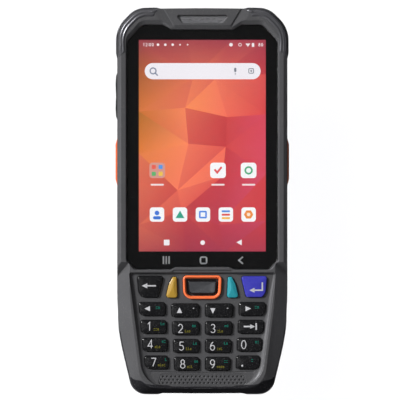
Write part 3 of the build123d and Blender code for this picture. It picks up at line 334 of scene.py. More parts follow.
dullRubber = dict(bumperLook, fixed={"Specular IOR Level": 0.2})
moduleLook = dict(dullRubber, colour=(28, 28, 30), dust=0.1, roughness=(0.5, 0.6))
moulded = {
    "housing_grey": housingLook,
    "strip_grey": dict(housingLook, edge=0.15),
    "rear_grey": rearLook,
    "trim_dark": dict(rearLook, colour=(44, 44, 46)),
    "bumper_rubber": bumperLook,
    "corner_rubber": dict(bumperLook, colour=(98, 98, 102), worn=(120, 120, 124)),
    # rubber of the lower end's skin, its darker colour partly painted shade of the lower end
    "dark_rubber": dict(bumperLook, colour=(46, 46, 49), worn=(84, 84, 88),
                        fixed={"Metallic": 0.45, **noMirror}),
    "cover_rubber": dict(dullRubber, colour=(40, 40, 42), wear=1.2),
    "module_black": moduleLook,
    "battery_shell": dict(moduleLook, colour=(50, 50, 54), roughness=(0.55, 0.65)),
    "gasket_foam": dict(moduleLook, colour=(18, 18, 19), wear=0.2, roughness=(0.8, 0.9)),
    "silicone": dict(moduleLook, colour=(120, 120, 124), wear=0.4, roughness=(0.6, 0.7)),
    "orange_plastic": {
        "colour": (238, 112, 62), "worn": (250, 160, 120), "cell": 0.2, "depth": 0.15,
        "edge": 0.22, "wear": 1.6, "dust": 0.12, "roughness": (0.28, 0.4), "spread": 0.05,
        "fixed": {"Specular IOR Level": 0.5, "Coat Weight": 0.15, "Coat Roughness": 0.2}},
}
keyLook = {
    "colour": (17, 17, 19), "worn": (52, 52, 56), "edge": 0.2, "wear": 1.4, "dust": 0.25,
    "roughness": (0.18, 0.28), "fixed": {"Specular IOR Level": 0.45}}
glossy = {
    "key_black": keyLook,
    "key_yellow": dict(keyLook, colour=(170, 134, 50), worn=(224, 204, 130)),
    "key_cyan": dict(keyLook, colour=(36, 138, 150), worn=(110, 205, 214)),
    "key_blue": dict(keyLook, colour=(56, 56, 164), worn=(100, 100, 200)),
    "key_grey": dict(keyLook, colour=(66, 67, 70), worn=(120, 120, 132)),
    "button_black": dict(keyLook, colour=(26, 26, 28), roughness=(0.3, 0.42)),
    "scan_window": dict(keyLook, colour=(46, 8, 12), roughness=(0.03, 0.08)),
    "camera_window": dict(keyLook, colour=(10, 10, 14), roughness=(0.02, 0.05), wear=0.3),
    "flash_lens": dict(keyLook, colour=(232, 228, 206), worn=(250, 248, 236), roughness=(0.3, 0.4)),
    "display_panel": dict(keyLook, colour=(20, 20, 22), wear=0.3),
}
metals = {    # colour, scale of the drawn lines along each axis, radius of the edges, roughness
    "contact_gold": ((226, 184, 100), (900.0, 9000.0, 900.0), 0.08, (0.18, 0.3)),
    "frame_metal": ((176, 177, 179), (600.0, 9000.0, 600.0), 0.2, (0.35, 0.5)),
    "grille_metal": ((132, 132, 134), (700.0, 9000.0, 700.0), 0.1, (0.4, 0.55)),
    "pin_steel": ((190, 190, 192), (400.0, 9000.0, 9000.0), 0.06, (0.15, 0.28)),
    "port_steel": ((178, 178, 180), (9000.0, 500.0, 9000.0), 0.06, (0.22, 0.36)),
    "screw_steel": ((116, 116, 120), (2400.0, 2400.0, 2400.0), 0.08, (0.3, 0.45)),
    "gauze_steel": ((137, 137, 140), (3000.0, 3000.0, 3000.0), 0.03, (0.35, 0.5)),
}


def camelCase(slot):
    first, *rest = slot.split("_")
    return first + "".join(word.capitalize() for word in rest)


finishes = {"circuit_board": circuitBoard(), "cover_glass": clearGlass()}
for make, looks in ((mouldedFinish, moulded), (glossFinish, glossy), (metalFinish, metals)):
    finishes.update({slot: make(camelCase(slot), look) for slot, look in looks.items()})
ownFinish = {"rear_housing": "rear_grey", "battery_door": "rear_grey", "microphone_strip": "strip_grey"}
for name, slot in slots.items():
    mesh = nodes[name].data
    mesh.materials.clear()
    mesh.materials.append(finishes[ownFinish.get(name, slot)])
print("finishes made:", len(finishes))


def newObject(name, data):
    made = bpy.data.objects.new(name, data)
    scene.collection.objects.link(made)
    return made


def plainObject(name, mesh, body, materials):
    for material in materials:
        mesh.materials.append(material)
    piece = newObject(name, mesh)
    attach(piece, body)
    return piece


def toMesh(bm, name):
    mesh = bpy.data.meshes.new(name)
    bm.to_mesh(mesh)
    bm.free()
    return mesh


def smoothMesh(bm, name, sharp):
    # faces outward and smooth, with hard edges where the surface turns by more than so many degrees
    bmesh.ops.recalc_face_normals(bm, faces=bm.faces)
    mesh = toMesh(bm, name)
    mesh.shade_smooth()
    mesh.set_sharp_from_angle(angle=math.radians(sharp))
    return mesh


def roundedBar(x0, x1, y0, y1, radius, steps=4):
    # one flat face with rounded corners
    radius = min(radius, (x1 - x0) / 2, (y1 - y0) / 2)
    points = []
    corners = ((x1 - radius, y1 - radius, 0), (x0 + radius, y1 - radius, 90),
               (x0 + radius, y0 + radius, 180), (x1 - radius, y0 + radius, 270))
    for x, y, start in corners:
        for step in range(steps + 1):
            turn = math.radians(start + 90 * step / steps)
            points.append((x + radius * math.cos(turn), y + radius * math.sin(turn)))
    return [points]


def arc(x, y, radiusX, radiusY, start, end, count=12):
    turns = [math.radians(start + (end - start) * step / count) for step in range(count + 1)]
    return [(x + radiusX * math.cos(turn), y + radiusY * math.sin(turn)) for turn in turns]


def disc(x, y, radius, count=20):
    return [arc(x, y, radius, radius, 0, 360, count)[:-1]]


def band(outer, inner):
    # faces between two loops of equal length
    count = len(outer)
    return [[outer[k], outer[(k + 1) % count], inner[(k + 1) % count], inner[k]] for k in range(count)]


def hoop(x, y, radius, width, count=24):
    return band(disc(x, y, radius, count)[0], disc(x, y, radius - width, count)[0])


def roundedHoop(x0, x1, y0, y1, radius, width):
    outer = roundedBar(x0, x1, y0, y1, radius)[0]
    inner = roundedBar(x0 + width, x1 - width, y0 + width, y1 - width, max(radius - width, 0.02))[0]
    return band(outer, inner)


def strokes(points, width):
    # an open line of even width with mitred corners, as one face per run
    sides = []
    count = len(points)
    for k, (x, y) in enumerate(points):
        before = Vector(points[max(k - 1, 0)])
        after = Vector(points[min(k + 1, count - 1)])
        here = Vector((x, y))
        runs = [v.normalized() for v in (here - before, after - here) if v.length > 0]
        along = sum(runs, Vector((0, 0))).normalized()
        across = Vector((-along.y, along.x))
        straight = abs(across.dot(Vector((-runs[0].y, runs[0].x))))
        reach = width / 2 / max(0.3, straight)    # no longer mitre than that
        sides.append((tuple(here + across * reach), tuple(here - across * reach)))
    return [[sides[k][0], sides[k][1], sides[k + 1][1], sides[k + 1][0]] for k in range(count - 1)]


def printedMesh(name, shapes, low, high, surface=None, cell=0.5):
    # thin closed prisms from flat faces; shapes are (faces, material index, tint, lift)
    # surface(x, y) gives the height that they lie on, all sizes in millimetres
    bm = bmesh.new()
    tint = bm.loops.layers.float_color.new("tint")
    for faces, index, colour, lift in shapes:
        part = bmesh.new()
        tones = {}
        for face in faces:
            part.faces.new([part.verts.new((x, y, 0)) for x, y in face])
            if isinstance(colour, list):
                tones = {(round(x, 4), round(y, 4)): tone for (x, y), tone in zip(face, colour)}
        bmesh.ops.remove_doubles(part, verts=part.verts, dist=0.002)
        for face in part.faces:
            if face.normal.z < 0:
                face.normal_flip()
        if surface:
            for axis in (0, 1):
                values = [vert.co[axis] for vert in part.verts]
                place = math.floor(min(values) / cell) * cell + cell
                while place < max(values):
                    origin, normal = Vector((0, 0, 0)), Vector((0, 0, 0))
                    origin[axis], normal[axis] = place, 1
                    geometry = part.verts[:] + part.edges[:] + part.faces[:]
                    bmesh.ops.bisect_plane(part, geom=geometry, plane_co=origin, plane_no=normal)
                    place += cell
            bmesh.ops.triangulate(part, faces=part.faces)
        made = bmesh.ops.extrude_face_region(part, geom=part.faces[:])
        tops = {item for item in made["geom"] if isinstance(item, bmesh.types.BMVert)}
        for vert in part.verts:
            ground = surface(vert.co.x, vert.co.y) if surface else 0.0
            vert.co.z = ground + (high if vert in tops else low) + lift
        bmesh.ops.recalc_face_normals(part, faces=part.faces)
        copies = {vert: bm.verts.new(vert.co * mm) for vert in part.verts}
        for face in part.faces:
            new = bm.faces.new([copies[vert] for vert in face.verts])
            new.material_index = index
            for loop, vert in zip(new.loops, face.verts):
                loop[tint] = tones.get((round(vert.co.x, 4), round(vert.co.y, 4)), colour)
        part.free()
    return toMesh(bm, name)


def ovalHoop(x, y, radiusX, radiusY, width, count=28):
    outer = arc(x, y, radiusX + width / 2, radiusY + width / 2, 0, 360, count)[:-1]
    inner = arc(x, y, radiusX - width / 2, radiusY - width / 2, 0, 360, count)[:-1]
    return band(outer, inner)


# each numeral in a box of one by one: open lines, then ovals (x, y, radius across, radius up)
numeralLines = {
    "0": ([], [(0.5, 0.5, 0.42, 0.5)]),
    "1": ([[(0.24, 0.79), (0.6, 1.0), (0.6, 0.0)]], []),
    "2": ([arc(0.48, 0.68, 0.4, 0.32, 160, -38) + [(0.1, 0.0)], [(0.06, 0.0), (0.94, 0.0)]], []),
    "3": ([arc(0.46, 0.745, 0.36, 0.255, 150, -90), arc(0.44, 0.245, 0.42, 0.245, 90, -150)], []),
    "4": ([[(0.98, 0.26), (0.04, 0.26), (0.7, 1.0), (0.7, 0.0)]], []),
    "5": ([[(0.88, 1.0), (0.22, 1.0), (0.16, 0.55)], arc(0.44, 0.3, 0.42, 0.3, 125, -150)], []),
    "6": ([arc(0.82, 0.3, 0.72, 0.7, 180, 105)], [(0.5, 0.3, 0.4, 0.3)]),
    "7": ([[(0.06, 1.0), (0.94, 1.0), (0.36, 0.0)]], []),
    "8": ([], [(0.5, 0.755, 0.34, 0.245), (0.5, 0.255, 0.42, 0.255)]),
    "9": ([arc(0.18, 0.7, 0.72, 0.7, 0, -75)], [(0.5, 0.7, 0.4, 0.3)]),
}


def numeral(symbol, x, y, width, height, weight):
    # a plain numeral as lists of flat faces, centred on x, y
    lines, ovals = numeralLines[symbol]
    wide, tall = width - weight, height - weight
    left, foot = x - wide / 2, y - tall / 2
    shapes = [strokes([(left + px * wide, foot + py * tall) for px, py in line], weight) for line in lines]
    for px, py, rx, ry in ovals:
        shapes.append(ovalHoop(left + px * wide, foot + py * tall, rx * wide, ry * tall, weight))
    return shapes


keyCap = {
    "wallTop": 0.45,     # the CAD cap's rounded edge starts this far below its top
    "step": 0.28,        # spacing of points round the cap
    "round": 0.55,       # width of the rounded edge
    "roundRise": 0.34,
    "roundRings": 6,
    "dome": 0.26,        # rise of the middle over the inner line of the rounded edge
    "hollow": -0.4,      # the same for the scan key
    "domeRings": 6,
    "flange": 0.45,
    "flangeTop": 21.9,
    "foot": 21.0,
    "sharp": 50,
}


def edgeLoop(node, level, reach, besideWall=False):
    # counter-clockwise points of the edges of a node that lie at one height, in millimetres
    bm = bmesh.new()
    bm.from_mesh(nodes[node].data)
    bmesh.ops.remove_doubles(bm, verts=bm.verts, dist=1e-6)
    links = {}
    for edge in bm.edges:
        a, b = edge.verts
        flat = max(abs(a.co.z - level), abs(b.co.z - level)) < reach
        upright = any(abs(face.normal.z) < 0.5 for face in edge.link_faces)
        if flat and (upright or not besideWall):
            links.setdefault(a, []).append(b)
            links.setdefault(b, []).append(a)
    first = next(iter(links))
    ring, last, here = [first], None, first
    while True:
        onward = [vert for vert in links[here] if vert is not last]
        last, here = here, onward[0]
        if here is first:
            break
        ring.append(here)
    points = [Vector((vert.co.x / mm, vert.co.y / mm)) for vert in ring]
    bm.free()
    area = sum(p.x * q.y - q.x * p.y for p, q in zip(points, points[1:] + points[:1]))
    if area < 0:
        points.reverse()
    return points


def evenRing(points, step):
    closed = points + points[:1]
    lengths = [0.0]
    for a, b in zip(closed, closed[1:]):
        lengths.append(lengths[-1] + (b - a).length)
    count = max(24, round(lengths[-1] / step))
    ring, k = [], 0
    for number in range(count):
        target = lengths[-1] * number / count
        while lengths[k + 1] < target:
            k += 1
        share = (target - lengths[k]) / (lengths[k + 1] - lengths[k])
        ring.append(closed[k].lerp(closed[k + 1], share))
    return ring


def insetRing(ring, amount):
    # each point moves along its corner's bisector
    count = len(ring)
    result = []
    for k in range(count):
        before = (ring[k] - ring[k - 1]).normalized()
        after = (ring[(k + 1) % count] - ring[k]).normalized()
        inward = Vector((-(before.y + after.y), before.x + after.x)).normalized()
        result.append(ring[k] + inward * amount)
    return result


def wallOutline(node, drop):
    # ring at the top of the node's upright wall
    return evenRing(edgeLoop(node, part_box(node)[1].z - drop * mm, reach=4e-6), keyCap["step"])


def quarterRound(outline, z, width, rise, steps):
    # rings from a wall's upper edge inwards and up
    turns = [math.pi / 2 * step / steps for step in range(1, steps + 1)]
    return [(insetRing(outline, width * (1 - math.cos(turn))), z + rise * math.sin(turn)) for turn in turns]


def ringWalls(rings, closed=False):
    # bmesh of walls between rings of equal length, which come with their heights
    bm = bmesh.new()
    loops = [[bm.verts.new((p.x * mm, p.y * mm, z * mm)) for p in ring] for ring, z in rings]
    for low, high in zip(loops, loops[1:] + loops[:1] if closed else loops[1:]):
        for k in range(len(low)):
            after = (k + 1) % len(low)
            bm.faces.new((low[k], low[after], high[after], high[k]))
    return bm, loops


def capMesh(node, rise):
    outline = wallOutline(node, keyCap["wallTop"])
    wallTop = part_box(node)[1].z / mm - keyCap["wallTop"]
    flange = insetRing(outline, -keyCap["flange"])
    rings = [(flange, keyCap["foot"]), (flange, keyCap["flangeTop"]), (outline, keyCap["flangeTop"]),
             (outline, wallTop)]
    rings += quarterRound(outline, wallTop, keyCap["round"], keyCap["roundRise"], keyCap["roundRings"])
    inner, edgeZ = rings[-1]
    centre = sum(inner, Vector((0, 0))) / len(inner)
    for step in range(1, keyCap["domeRings"]):
        share = 1 - step / keyCap["domeRings"]
        ring = [centre + (point - centre) * share for point in inner]
        rings.append((ring, edgeZ + rise * (1 - share ** 2)))
    bm, loops = ringWalls(rings)
    tip = bm.verts.new((centre.x * mm, centre.y * mm, (edgeZ + rise) * mm))
    last = loops[-1]
    for k in range(len(last)):
        bm.faces.new((last[k], last[(k + 1) % len(last)], tip))
    bm.faces.new(list(reversed(loops[0])))
    bmesh.ops.recalc_face_normals(bm, faces=bm.faces)
    tree = BVHTree.FromBMesh(bm)
    return smoothMesh(bm, node + "Cap", keyCap["sharp"]), tree


capTrees = {}
keyNodes = [name for name in slots if name.startswith("key_") and name in frame["bodies"]]
for name in keyNodes:
    isScan = name == "key_scan"
    mesh, capTrees[name] = capMesh(name, keyCap["hollow" if isScan else "dome"])
    if isScan:
        # its middle is paler: all faces inside the inner line of the rounded edge
        bands = 3 + keyCap["roundRings"]
        size = (len(mesh.polygons) - 1) // (bands + keyCap["domeRings"])
        for face in mesh.polygons[size * bands:-1]:
            face.material_index = 1
    capFinishes = [finishes[slots[name]]] + [finishes["key_grey"]] * isScan
    cap = plainObject("cap_" + name.removeprefix("key_"), mesh, name, capFinishes)
    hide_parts(name)
print("key caps:", len(keyNodes))


legends = {
    "numeral": (2.45, 3.7, 0.34),   # width, height and line width
    "thickness": 0.03,
    "lift": 0.012,
    "numerals": {
        "key_1": ("1", -21.7, -51.2), "key_2": ("2", -8.9, -52.0), "key_3": ("3", 4.4, -52.0),
        "key_4": ("4", -21.2, -58.4), "key_5": ("5", -8.45, -59.2), "key_6": ("6", 4.15, -59.2),
        "key_7": ("7", -19.9, -65.8), "key_8": ("8", -8.0, -66.5), "key_9": ("9", 4.15, -66.5),
        "key_0": ("0", 16.9, -58.6)},
}
inkColours = {"inkWhite": (182, 182, 185), "inkOlive": (104, 99, 36), "inkTeal": (22, 102, 88)}
inks = [printedInk(name, colour, glow=0.08) for name, colour in inkColours.items()]
white, olive, teal = range(3)
noTint = (1.0, 1.0, 1.0, 1.0)


def smallMarks(x, y, seed, count, width, height):
    # a short row of plain signs in place of small print: hoops, arches, stems and pairs of dashes
    rng = random.Random(seed)
    low, high, weight = y - height / 2, y + height / 2, 0.22
    marks = []
    for number in range(count):
        right = x + width - 0.2
        kind = rng.randrange(4)
        if kind == 0:
            marks.append(roundedHoop(x, right, low, y + height / 4, 0.25, weight))
        elif kind == 1:
            left, far, top = x + weight / 2, right - weight / 2, y + 0.1
            marks.append(strokes([(left, low), (left, top), (far, top), (far, low)], weight))
        elif kind == 2:
            marks.append(roundedBar(x, x + weight, low, high, 0.05))
            marks.append(roundedBar(x + weight + 0.04, right, low, low + weight, 0.05))
        else:
            marks.append(roundedBar(x, right, y + 0.12, y + 0.12 + weight, 0.05))
            marks.append(roundedBar(x, right, low, low + weight, 0.05))
        x += width
    return marks


def arrowHead(x, y, size, turn):
    points = [(size, 0), (-size * 0.75, size * 0.82), (-size * 0.75, -size * 0.82)]
    c, s = math.cos(math.radians(turn)), math.sin(math.radians(turn))
    return [[(x + px * c - py * s, y + px * s + py * c) for px, py in points]]


keyPrints = {name: [] for name in keyNodes}


def addPrint(name, ink, items):
    keyPrints[name] += [(faces, ink, noTint, 0.0) for faces in items]


for name, (symbol, x, y) in legends["numerals"].items():
    addPrint(name, white, numeral(symbol, x, y, *legends["numeral"]))
    if name != "key_0":
        addPrint(name, olive, smallMarks(x + 1.8, y - 1.05, symbol, 3 + (symbol in "79"), 0.8, 1.2))
    addPrint(name, teal, smallMarks(x + 4.7, y + 1.15, symbol + "0", 2, 0.85, 1.25))
for name, x, y, turn in (("key_left", -22.3, -43.9, 180), ("key_right", 18.6, -43.9, 0),
                         ("key_up", -9.3, -44.7, 90), ("key_down", 4.3, -44.7, 270)):
    addPrint(name, white, [arrowHead(x, y, 1.3, turn)])
addPrint("key_left", teal, smallMarks(-19.0, -43.4, "left", 2, 0.95, 1.3))
addPrint("key_right", teal, smallMarks(21.4, -43.2, "right", 2, 0.95, 1.3))
addPrint("key_up", white, [roundedBar(-3.9, -3.3, -43.9, -43.6, 0.1)])
addPrint("key_down", white, [roundedBar(10.0, 10.6, -43.9, -43.6, 0.1)])
addPrint("key_point", white, [disc(16.3, -67.2, 0.42)])
addPrint("key_point", teal, smallMarks(20.0, -64.9, "point", 1, 0.9, 1.2))
addPrint("key_backspace", white, [
    strokes([(-23.4, -34.6), (-18.9, -34.6)], 0.55), arrowHead(-23.4, -34.6, 1.25, 180)])
addPrint("key_enter", white, [
    strokes([(20.4, -36.4), (24.5, -36.4), (24.5, -33.2)], 0.6), arrowHead(20.4, -36.4, 1.2, 180)])
addPrint("key_tab", white, [
    strokes([(16.9, -51.2), (20.6, -51.2)], 0.6), arrowHead(20.4, -51.2, 1.1, 0),
    roundedBar(21.7, 22.3, -52.6, -49.8, 0.1)])


def capSurface(name):
    # gives the height of a key cap's top at a place
    def height(x, y):
        hit = capTrees[name].ray_cast(Vector((x * mm, y * mm, above)), down)[0]
        return hit.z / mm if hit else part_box(name)[1].z / mm
    return height


for name, shapes in keyPrints.items():
    if shapes:
        mesh = printedMesh(name + "Print", shapes, -legends["thickness"], legends["lift"], capSurface(name))
        plainObject("print_" + name.removeprefix("key_"), mesh, name, inks)
print("key print done")


# rubber that runs on from the bumpers over the housing: depths are measured in from the outline
skins = {
    "step": 1.0,         # degrees round the centre
    "pitch": 0.16,       # spacing of points across the skin
    "cover": 0.09,       # how far the rubber stands on the housing
    "root": 0.12,        # how far it reaches into it
    "lip": 0.3,          # width of its rounded border
    "endLip": 0.6,       # how fast the border comes in over the degrees from the skin's ends
    "ridgeRun": 8,       # degrees over which a ridge rises from the skin's ends
    "foot": 17.2,        # the outline is taken at this height
    "search": (45.0, 0.03),    # it is looked for from this far out, in such steps
    "sharp": 60,
    "lower": {"centre": (0.0, -50.0), "turns": (217, 323), "start": 0.0, "ridges": [],
              "widths": [(217, 0.5), (224, 4.2), (230, 4.6), (237, 4.2), (246, 3.2), (256, 3.0), (270, 3.0)]},
    "upper": {"centre": (14.0, 57.0), "turns": (6, 78), "start": 1.0,
              "ridges": [(1.75, 0.62, 0.34), (3.25, 0.5, 0.26)],      # depth, half width, height
              "widths": [(6, 0.6), (14, 3.0), (70, 3.0), (78, 0.6)]},
}


def blendAlong(table, at):
    for (a, low), (b, high) in zip(table, table[1:]):
        if at <= b:
            share = (at - a) / (b - a)
            return low + (high - low) * eased(share)
    return table[-1][1]


def eased(share):
    return share * share * (3 - 2 * share)


def lipShare(share):
    # height of a rounded border, from 0 at its foot to 1
    share = min(1.0, max(0.0, share))
    return math.sqrt(1 - (1 - share) ** 2)


def surfaceTree(names):
    bm = bmesh.new()
    for name in names:
        bm.from_mesh(nodes[name].data)
    tree = BVHTree.FromBMesh(bm)
    bm.free()
    return tree


bodyTree = surfaceTree(["front_housing", "bumper_top_left", "bumper_top_right", "bumper_bottom_left",
                        "bumper_bottom_right"])


def bodySurface(x, y):
    hit = bodyTree.ray_cast(Vector((x * mm, y * mm, above)), down)[0]
    return hit / mm if hit else Vector((x, y, -1.0))


def skinGrid(skin, side):
    # points of the housing under the skin, one row for each turn, from the outline inwards
    first, last = skin["turns"]
    turns = [first + skins["step"] * k for k in range(round((last - first) / skins["step"]) + 1)]
    count = round(max(width for _, width in skin["widths"]) / skins["pitch"])
    centreX, centreY = side * skin["centre"][0], skin["centre"][1]
    grid, widths = [], []
    for turn in turns:
        across, along = side * math.cos(math.radians(turn)), math.sin(math.radians(turn))
        reach, step = skins["search"]
        while bodySurface(centreX + across * reach, centreY + along * reach).z < skins["foot"]:
            reach -= step
        # past its last entry the table is read backwards
        width = blendAlong(skin["widths"], min(turn, 2 * skin["widths"][-1][0] - turn))
        widths.append(width)
        reach -= skin["start"]
        depths = [reach - width * k / count for k in range(count + 1)]
        grid.append([bodySurface(centreX + across * depth, centreY + along * depth) for depth in depths])
    return turns, grid, widths


def gridNormal(grid, i, j):
    lastI, lastJ = len(grid) - 1, len(grid[0]) - 1
    along = grid[min(i + 1, lastI)][j] - grid[max(i - 1, 0)][j]
    inward = grid[i][min(j + 1, lastJ)] - grid[i][max(j - 1, 0)]
    normal = inward.cross(along).normalized()
    return normal if normal.z > 0 else -normal


def sheetMesh(name, pairs, sharp):
    # closed mesh between the upper and the lower points of a grid of pairs
    bm = bmesh.new()
    lastI, lastJ = len(pairs) - 1, len(pairs[0]) - 1
    top, under = ([[bm.verts.new(pair[k] * mm) for pair in row] for row in pairs] for k in (0, 1))
    for sheet in (top, under):
        for i in range(lastI):
            for j in range(lastJ):
                bm.faces.new((sheet[i][j], sheet[i + 1][j], sheet[i + 1][j + 1], sheet[i][j + 1]))
    rim = [(i, 0) for i in range(lastI)] + [(lastI, j) for j in range(lastJ)]
    rim += [(i, lastJ) for i in range(lastI, 0, -1)] + [(0, j) for j in range(lastJ, 0, -1)]
    for (i, j), (k, m) in zip(rim, rim[1:] + rim[:1]):
        bm.faces.new((top[i][j], top[k][m], under[k][m], under[i][j]))
    return smoothMesh(bm, name, sharp)


def skinMesh(name, skin, side):
    turns, grid, widths = skinGrid(skin, side)
    pairs = []
    for i, (turn, width) in enumerate(zip(turns, widths)):
        toEnd = min(turn - turns[0], turns[-1] - turn)
        pairs.append([])
        for j, point in enumerate(grid[i]):
            depth = width * j / (len(grid[i]) - 1)
            border = min(depth, width - depth, toEnd * skins["endLip"])
            lift = skins["cover"] * lipShare(border / skins["lip"])
            for place, half, height in skin["ridges"]:
                near = (depth + skin["start"] - place) / half
                if abs(near) < 1:
                    lift += height * math.cos(near * math.pi / 2) ** 2 * min(1.0, toEnd / skins["ridgeRun"])
            normal = gridNormal(grid, i, j)
            pairs[-1].append((point + normal * lift, point - normal * skins["root"]))
    return sheetMesh(name, pairs, skins["sharp"])


# the lower end's skin is a rubber sheet whose darker colour is partly painted shade of the lower end
for name, key, side, finish in (("end_skin", "lower", 1, "dark_rubber"),
                                ("corner_skin_left", "upper", -1, "corner_rubber"),
                                ("corner_skin_right", "upper", 1, "corner_rubber")):
    mesh = skinMesh(name, skins[key], side)
    plainObject(name, mesh, "housing", [finishes[finish]])
print("rubber skins done")


# swelling of each flank that runs smoothly into the upper end of the lower bumper
fairing = {
    "length": 10.0,
    "overlap": 0.4,      # reach over the bumper
    "cover": 0.03,       # how far it stands on the bumper
    "root": 0.12,
    "steps": (36, 26),   # along and up
    "heights": (4.6, 16.9),
    "lip": 0.5,
    "clear": 0.05,       # surfaces are read this far from the bumper's end
    "sharp": 40,
}
housingTree = surfaceTree(["front_housing", "rear_housing"])


def flankAt(tree, side, y, z):
    hit = tree.ray_cast(Vector((side * beside, y * mm, z * mm)), Vector((-side, 0, 0)))[0]
    return abs(hit.x) / mm if hit else 0.0


def fairingMesh(side, bumper):
    bumperTree = surfaceTree([bumper])
    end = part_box(bumper)[1].y / mm
    along, up = fairing["steps"]
    low, high = fairing["heights"]
    pairs = []
    for j in range(up + 1):
        z = low + (high - low) * j / up
        rounded = lipShare(min(z - low, high - z) / fairing["lip"])
        foot = flankAt(bumperTree, side, end - fairing["clear"], z)
        rise = foot - flankAt(housingTree, side, end + fairing["clear"], z) + fairing["cover"]
        pairs.append([])
        for i in range(along + 1):
            run = (fairing["length"] + fairing["overlap"]) * i / along - fairing["overlap"]
            if run < 0:
                surface = flankAt(bumperTree, side, end + run, z) or foot
                lift = fairing["cover"]
            else:
                surface = flankAt(housingTree, side, end + max(run, fairing["clear"]), z)
                lift = rise * eased(1 - run / fairing["length"])
            reaches = surface + lift * rounded, surface - fairing["root"]
            pairs[-1].append([Vector((side * reach, end + run, z)) for reach in reaches])
    return sheetMesh("fairing", pairs, fairing["sharp"])


for name, side, bumper in (("fairing_left", -1, "bumper_bottom_left"),
                           ("fairing_right", 1, "bumper_bottom_right")):
    slot = slots["front_housing"]
    plainObject(name, fairingMesh(side, bumper), "housing", [finishes[slot]])


scanRing = {
    "wallTop": 0.4,      # the CAD ring's rounded edge starts this far below its top
    "roundSteps": 5,
    "flat": 0.72,        # depths from the outer wall
    "inner": 1.25,
    "slopeDrop": 0.75,
    "sharp": 35,
}


def scanRingMesh():
    # ring with a rounded outer edge and an inner side that slopes down to the key
    low, high = (corner.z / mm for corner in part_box("scan_key_ring"))
    drop = scanRing["wallTop"]
    outline = wallOutline("scan_key_ring", drop)
    inner = insetRing(outline, scanRing["inner"])
    rings = [(outline, low), (outline, high - drop)]
    rings += quarterRound(outline, high - drop, drop, drop, scanRing["roundSteps"])
    rings.append((insetRing(outline, scanRing["flat"]), high))
    rings += [(inner, high - scanRing["slopeDrop"]), (inner, low)]
    return smoothMesh(ringWalls(rings, closed=True)[0], "scanRing", scanRing["sharp"])


orange = finishes["orange_plastic"]
ringPiece = plainObject("scan_ring", scanRingMesh(), "housing", [orange])
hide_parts("scan_key_ring")
print("scan ring done")


picture = {
    "half": (25.92, 43.2), "centre": (0.0, 22.6), "floor": 22.853, "sheet": 0.005,
    "columns": 3, "rows": 6, "jitter": 0.3, "seed": 23,
    "lift": 0.3,         # spread of the facets' tones
    "dusk": (150, 44, 72), "duskStart": 0.55,    # the pattern goes darker towards the top and the foot
    "duskShares": (0.85, 0.7),
    "sweep": (0.5, 0.3, -0.2),    # place among the warm colours: in the middle, change across and up
    "wave": (0.12, 2.4, 0.8),     # height, rate and start of the wave in it
    "liftShade": 0.9,
    "warm": [(164, 98, 26), (212, 114, 44), (240, 136, 86), (236, 114, 86), (222, 84, 76), (206, 56, 64),
             (228, 78, 108)],
}


def wallColour(x, y, lift):
    # a slow sweep of the warm colours from the upper left to the lower right, x and y from -1 to 1
    colours = [paint(*tone) for tone in picture["warm"]]
    (middle, across, up), (height, rate, start) = picture["sweep"], picture["wave"]
    sweep = middle + across * x + up * y + height * math.sin(rate * x * y + start) + lift
    at = min(0.999, max(0.0, sweep)) * (len(colours) - 1)
    low = int(at)
    mixed = [p + (q - p) * (at - low) for p, q in zip(colours[low], colours[low + 1])]
    share = picture["duskShares"][0 if y > 0 else 1]
    dusk = share * min(1.0, max(0.0, (abs(y) - picture["duskStart"]) / (1 - picture["duskStart"])))
    mixed = [p + (q - p) * dusk for p, q in zip(mixed, paint(*picture["dusk"]))]
    return shade(mixed, 1.0 - picture["liftShade"] * lift)


def wallFacets():
    # a plain pattern of large triangles over a jittered net
    rng = random.Random(picture["seed"])
    (halfX, halfY), (centreX, centreY) = picture["half"], picture["centre"]
    columns, rows = picture["columns"], picture["rows"]
    net = {}
    for i in range(columns + 1):
        for j in range(rows + 1):
            shiftX = (rng.random() - 0.5) * picture["jitter"] * 4 / columns * (0 < i < columns)
            shiftY = (rng.random() - 0.5) * picture["jitter"] * 4 / rows * (0 < j < rows)
            net[i, j] = (-1 + 2 * i / columns + shiftX, -1 + 2 * j / rows + shiftY)
    shapes = []
    for i in range(columns):
        for j in range(rows):
            a, b, c, d = (net[place] for place in ((i, j), (i + 1, j), (i + 1, j + 1), (i, j + 1)))
            pair = ((a, b, c), (a, c, d)) if rng.random() < 0.5 else ((a, b, d), (b, c, d))
            for triangle in pair:
                lift = picture["lift"] * (rng.random() - 0.5)
                flat = [(x * halfX + centreX, y * halfY + centreY) for x, y in triangle]
                shapes.append(([flat], 0, [wallColour(x, y, lift) for x, y in triangle], 0.0))
    return shapes


def square(x, y, half, radius):
    return roundedBar(x - half, x + half, y - half, y + half, radius)


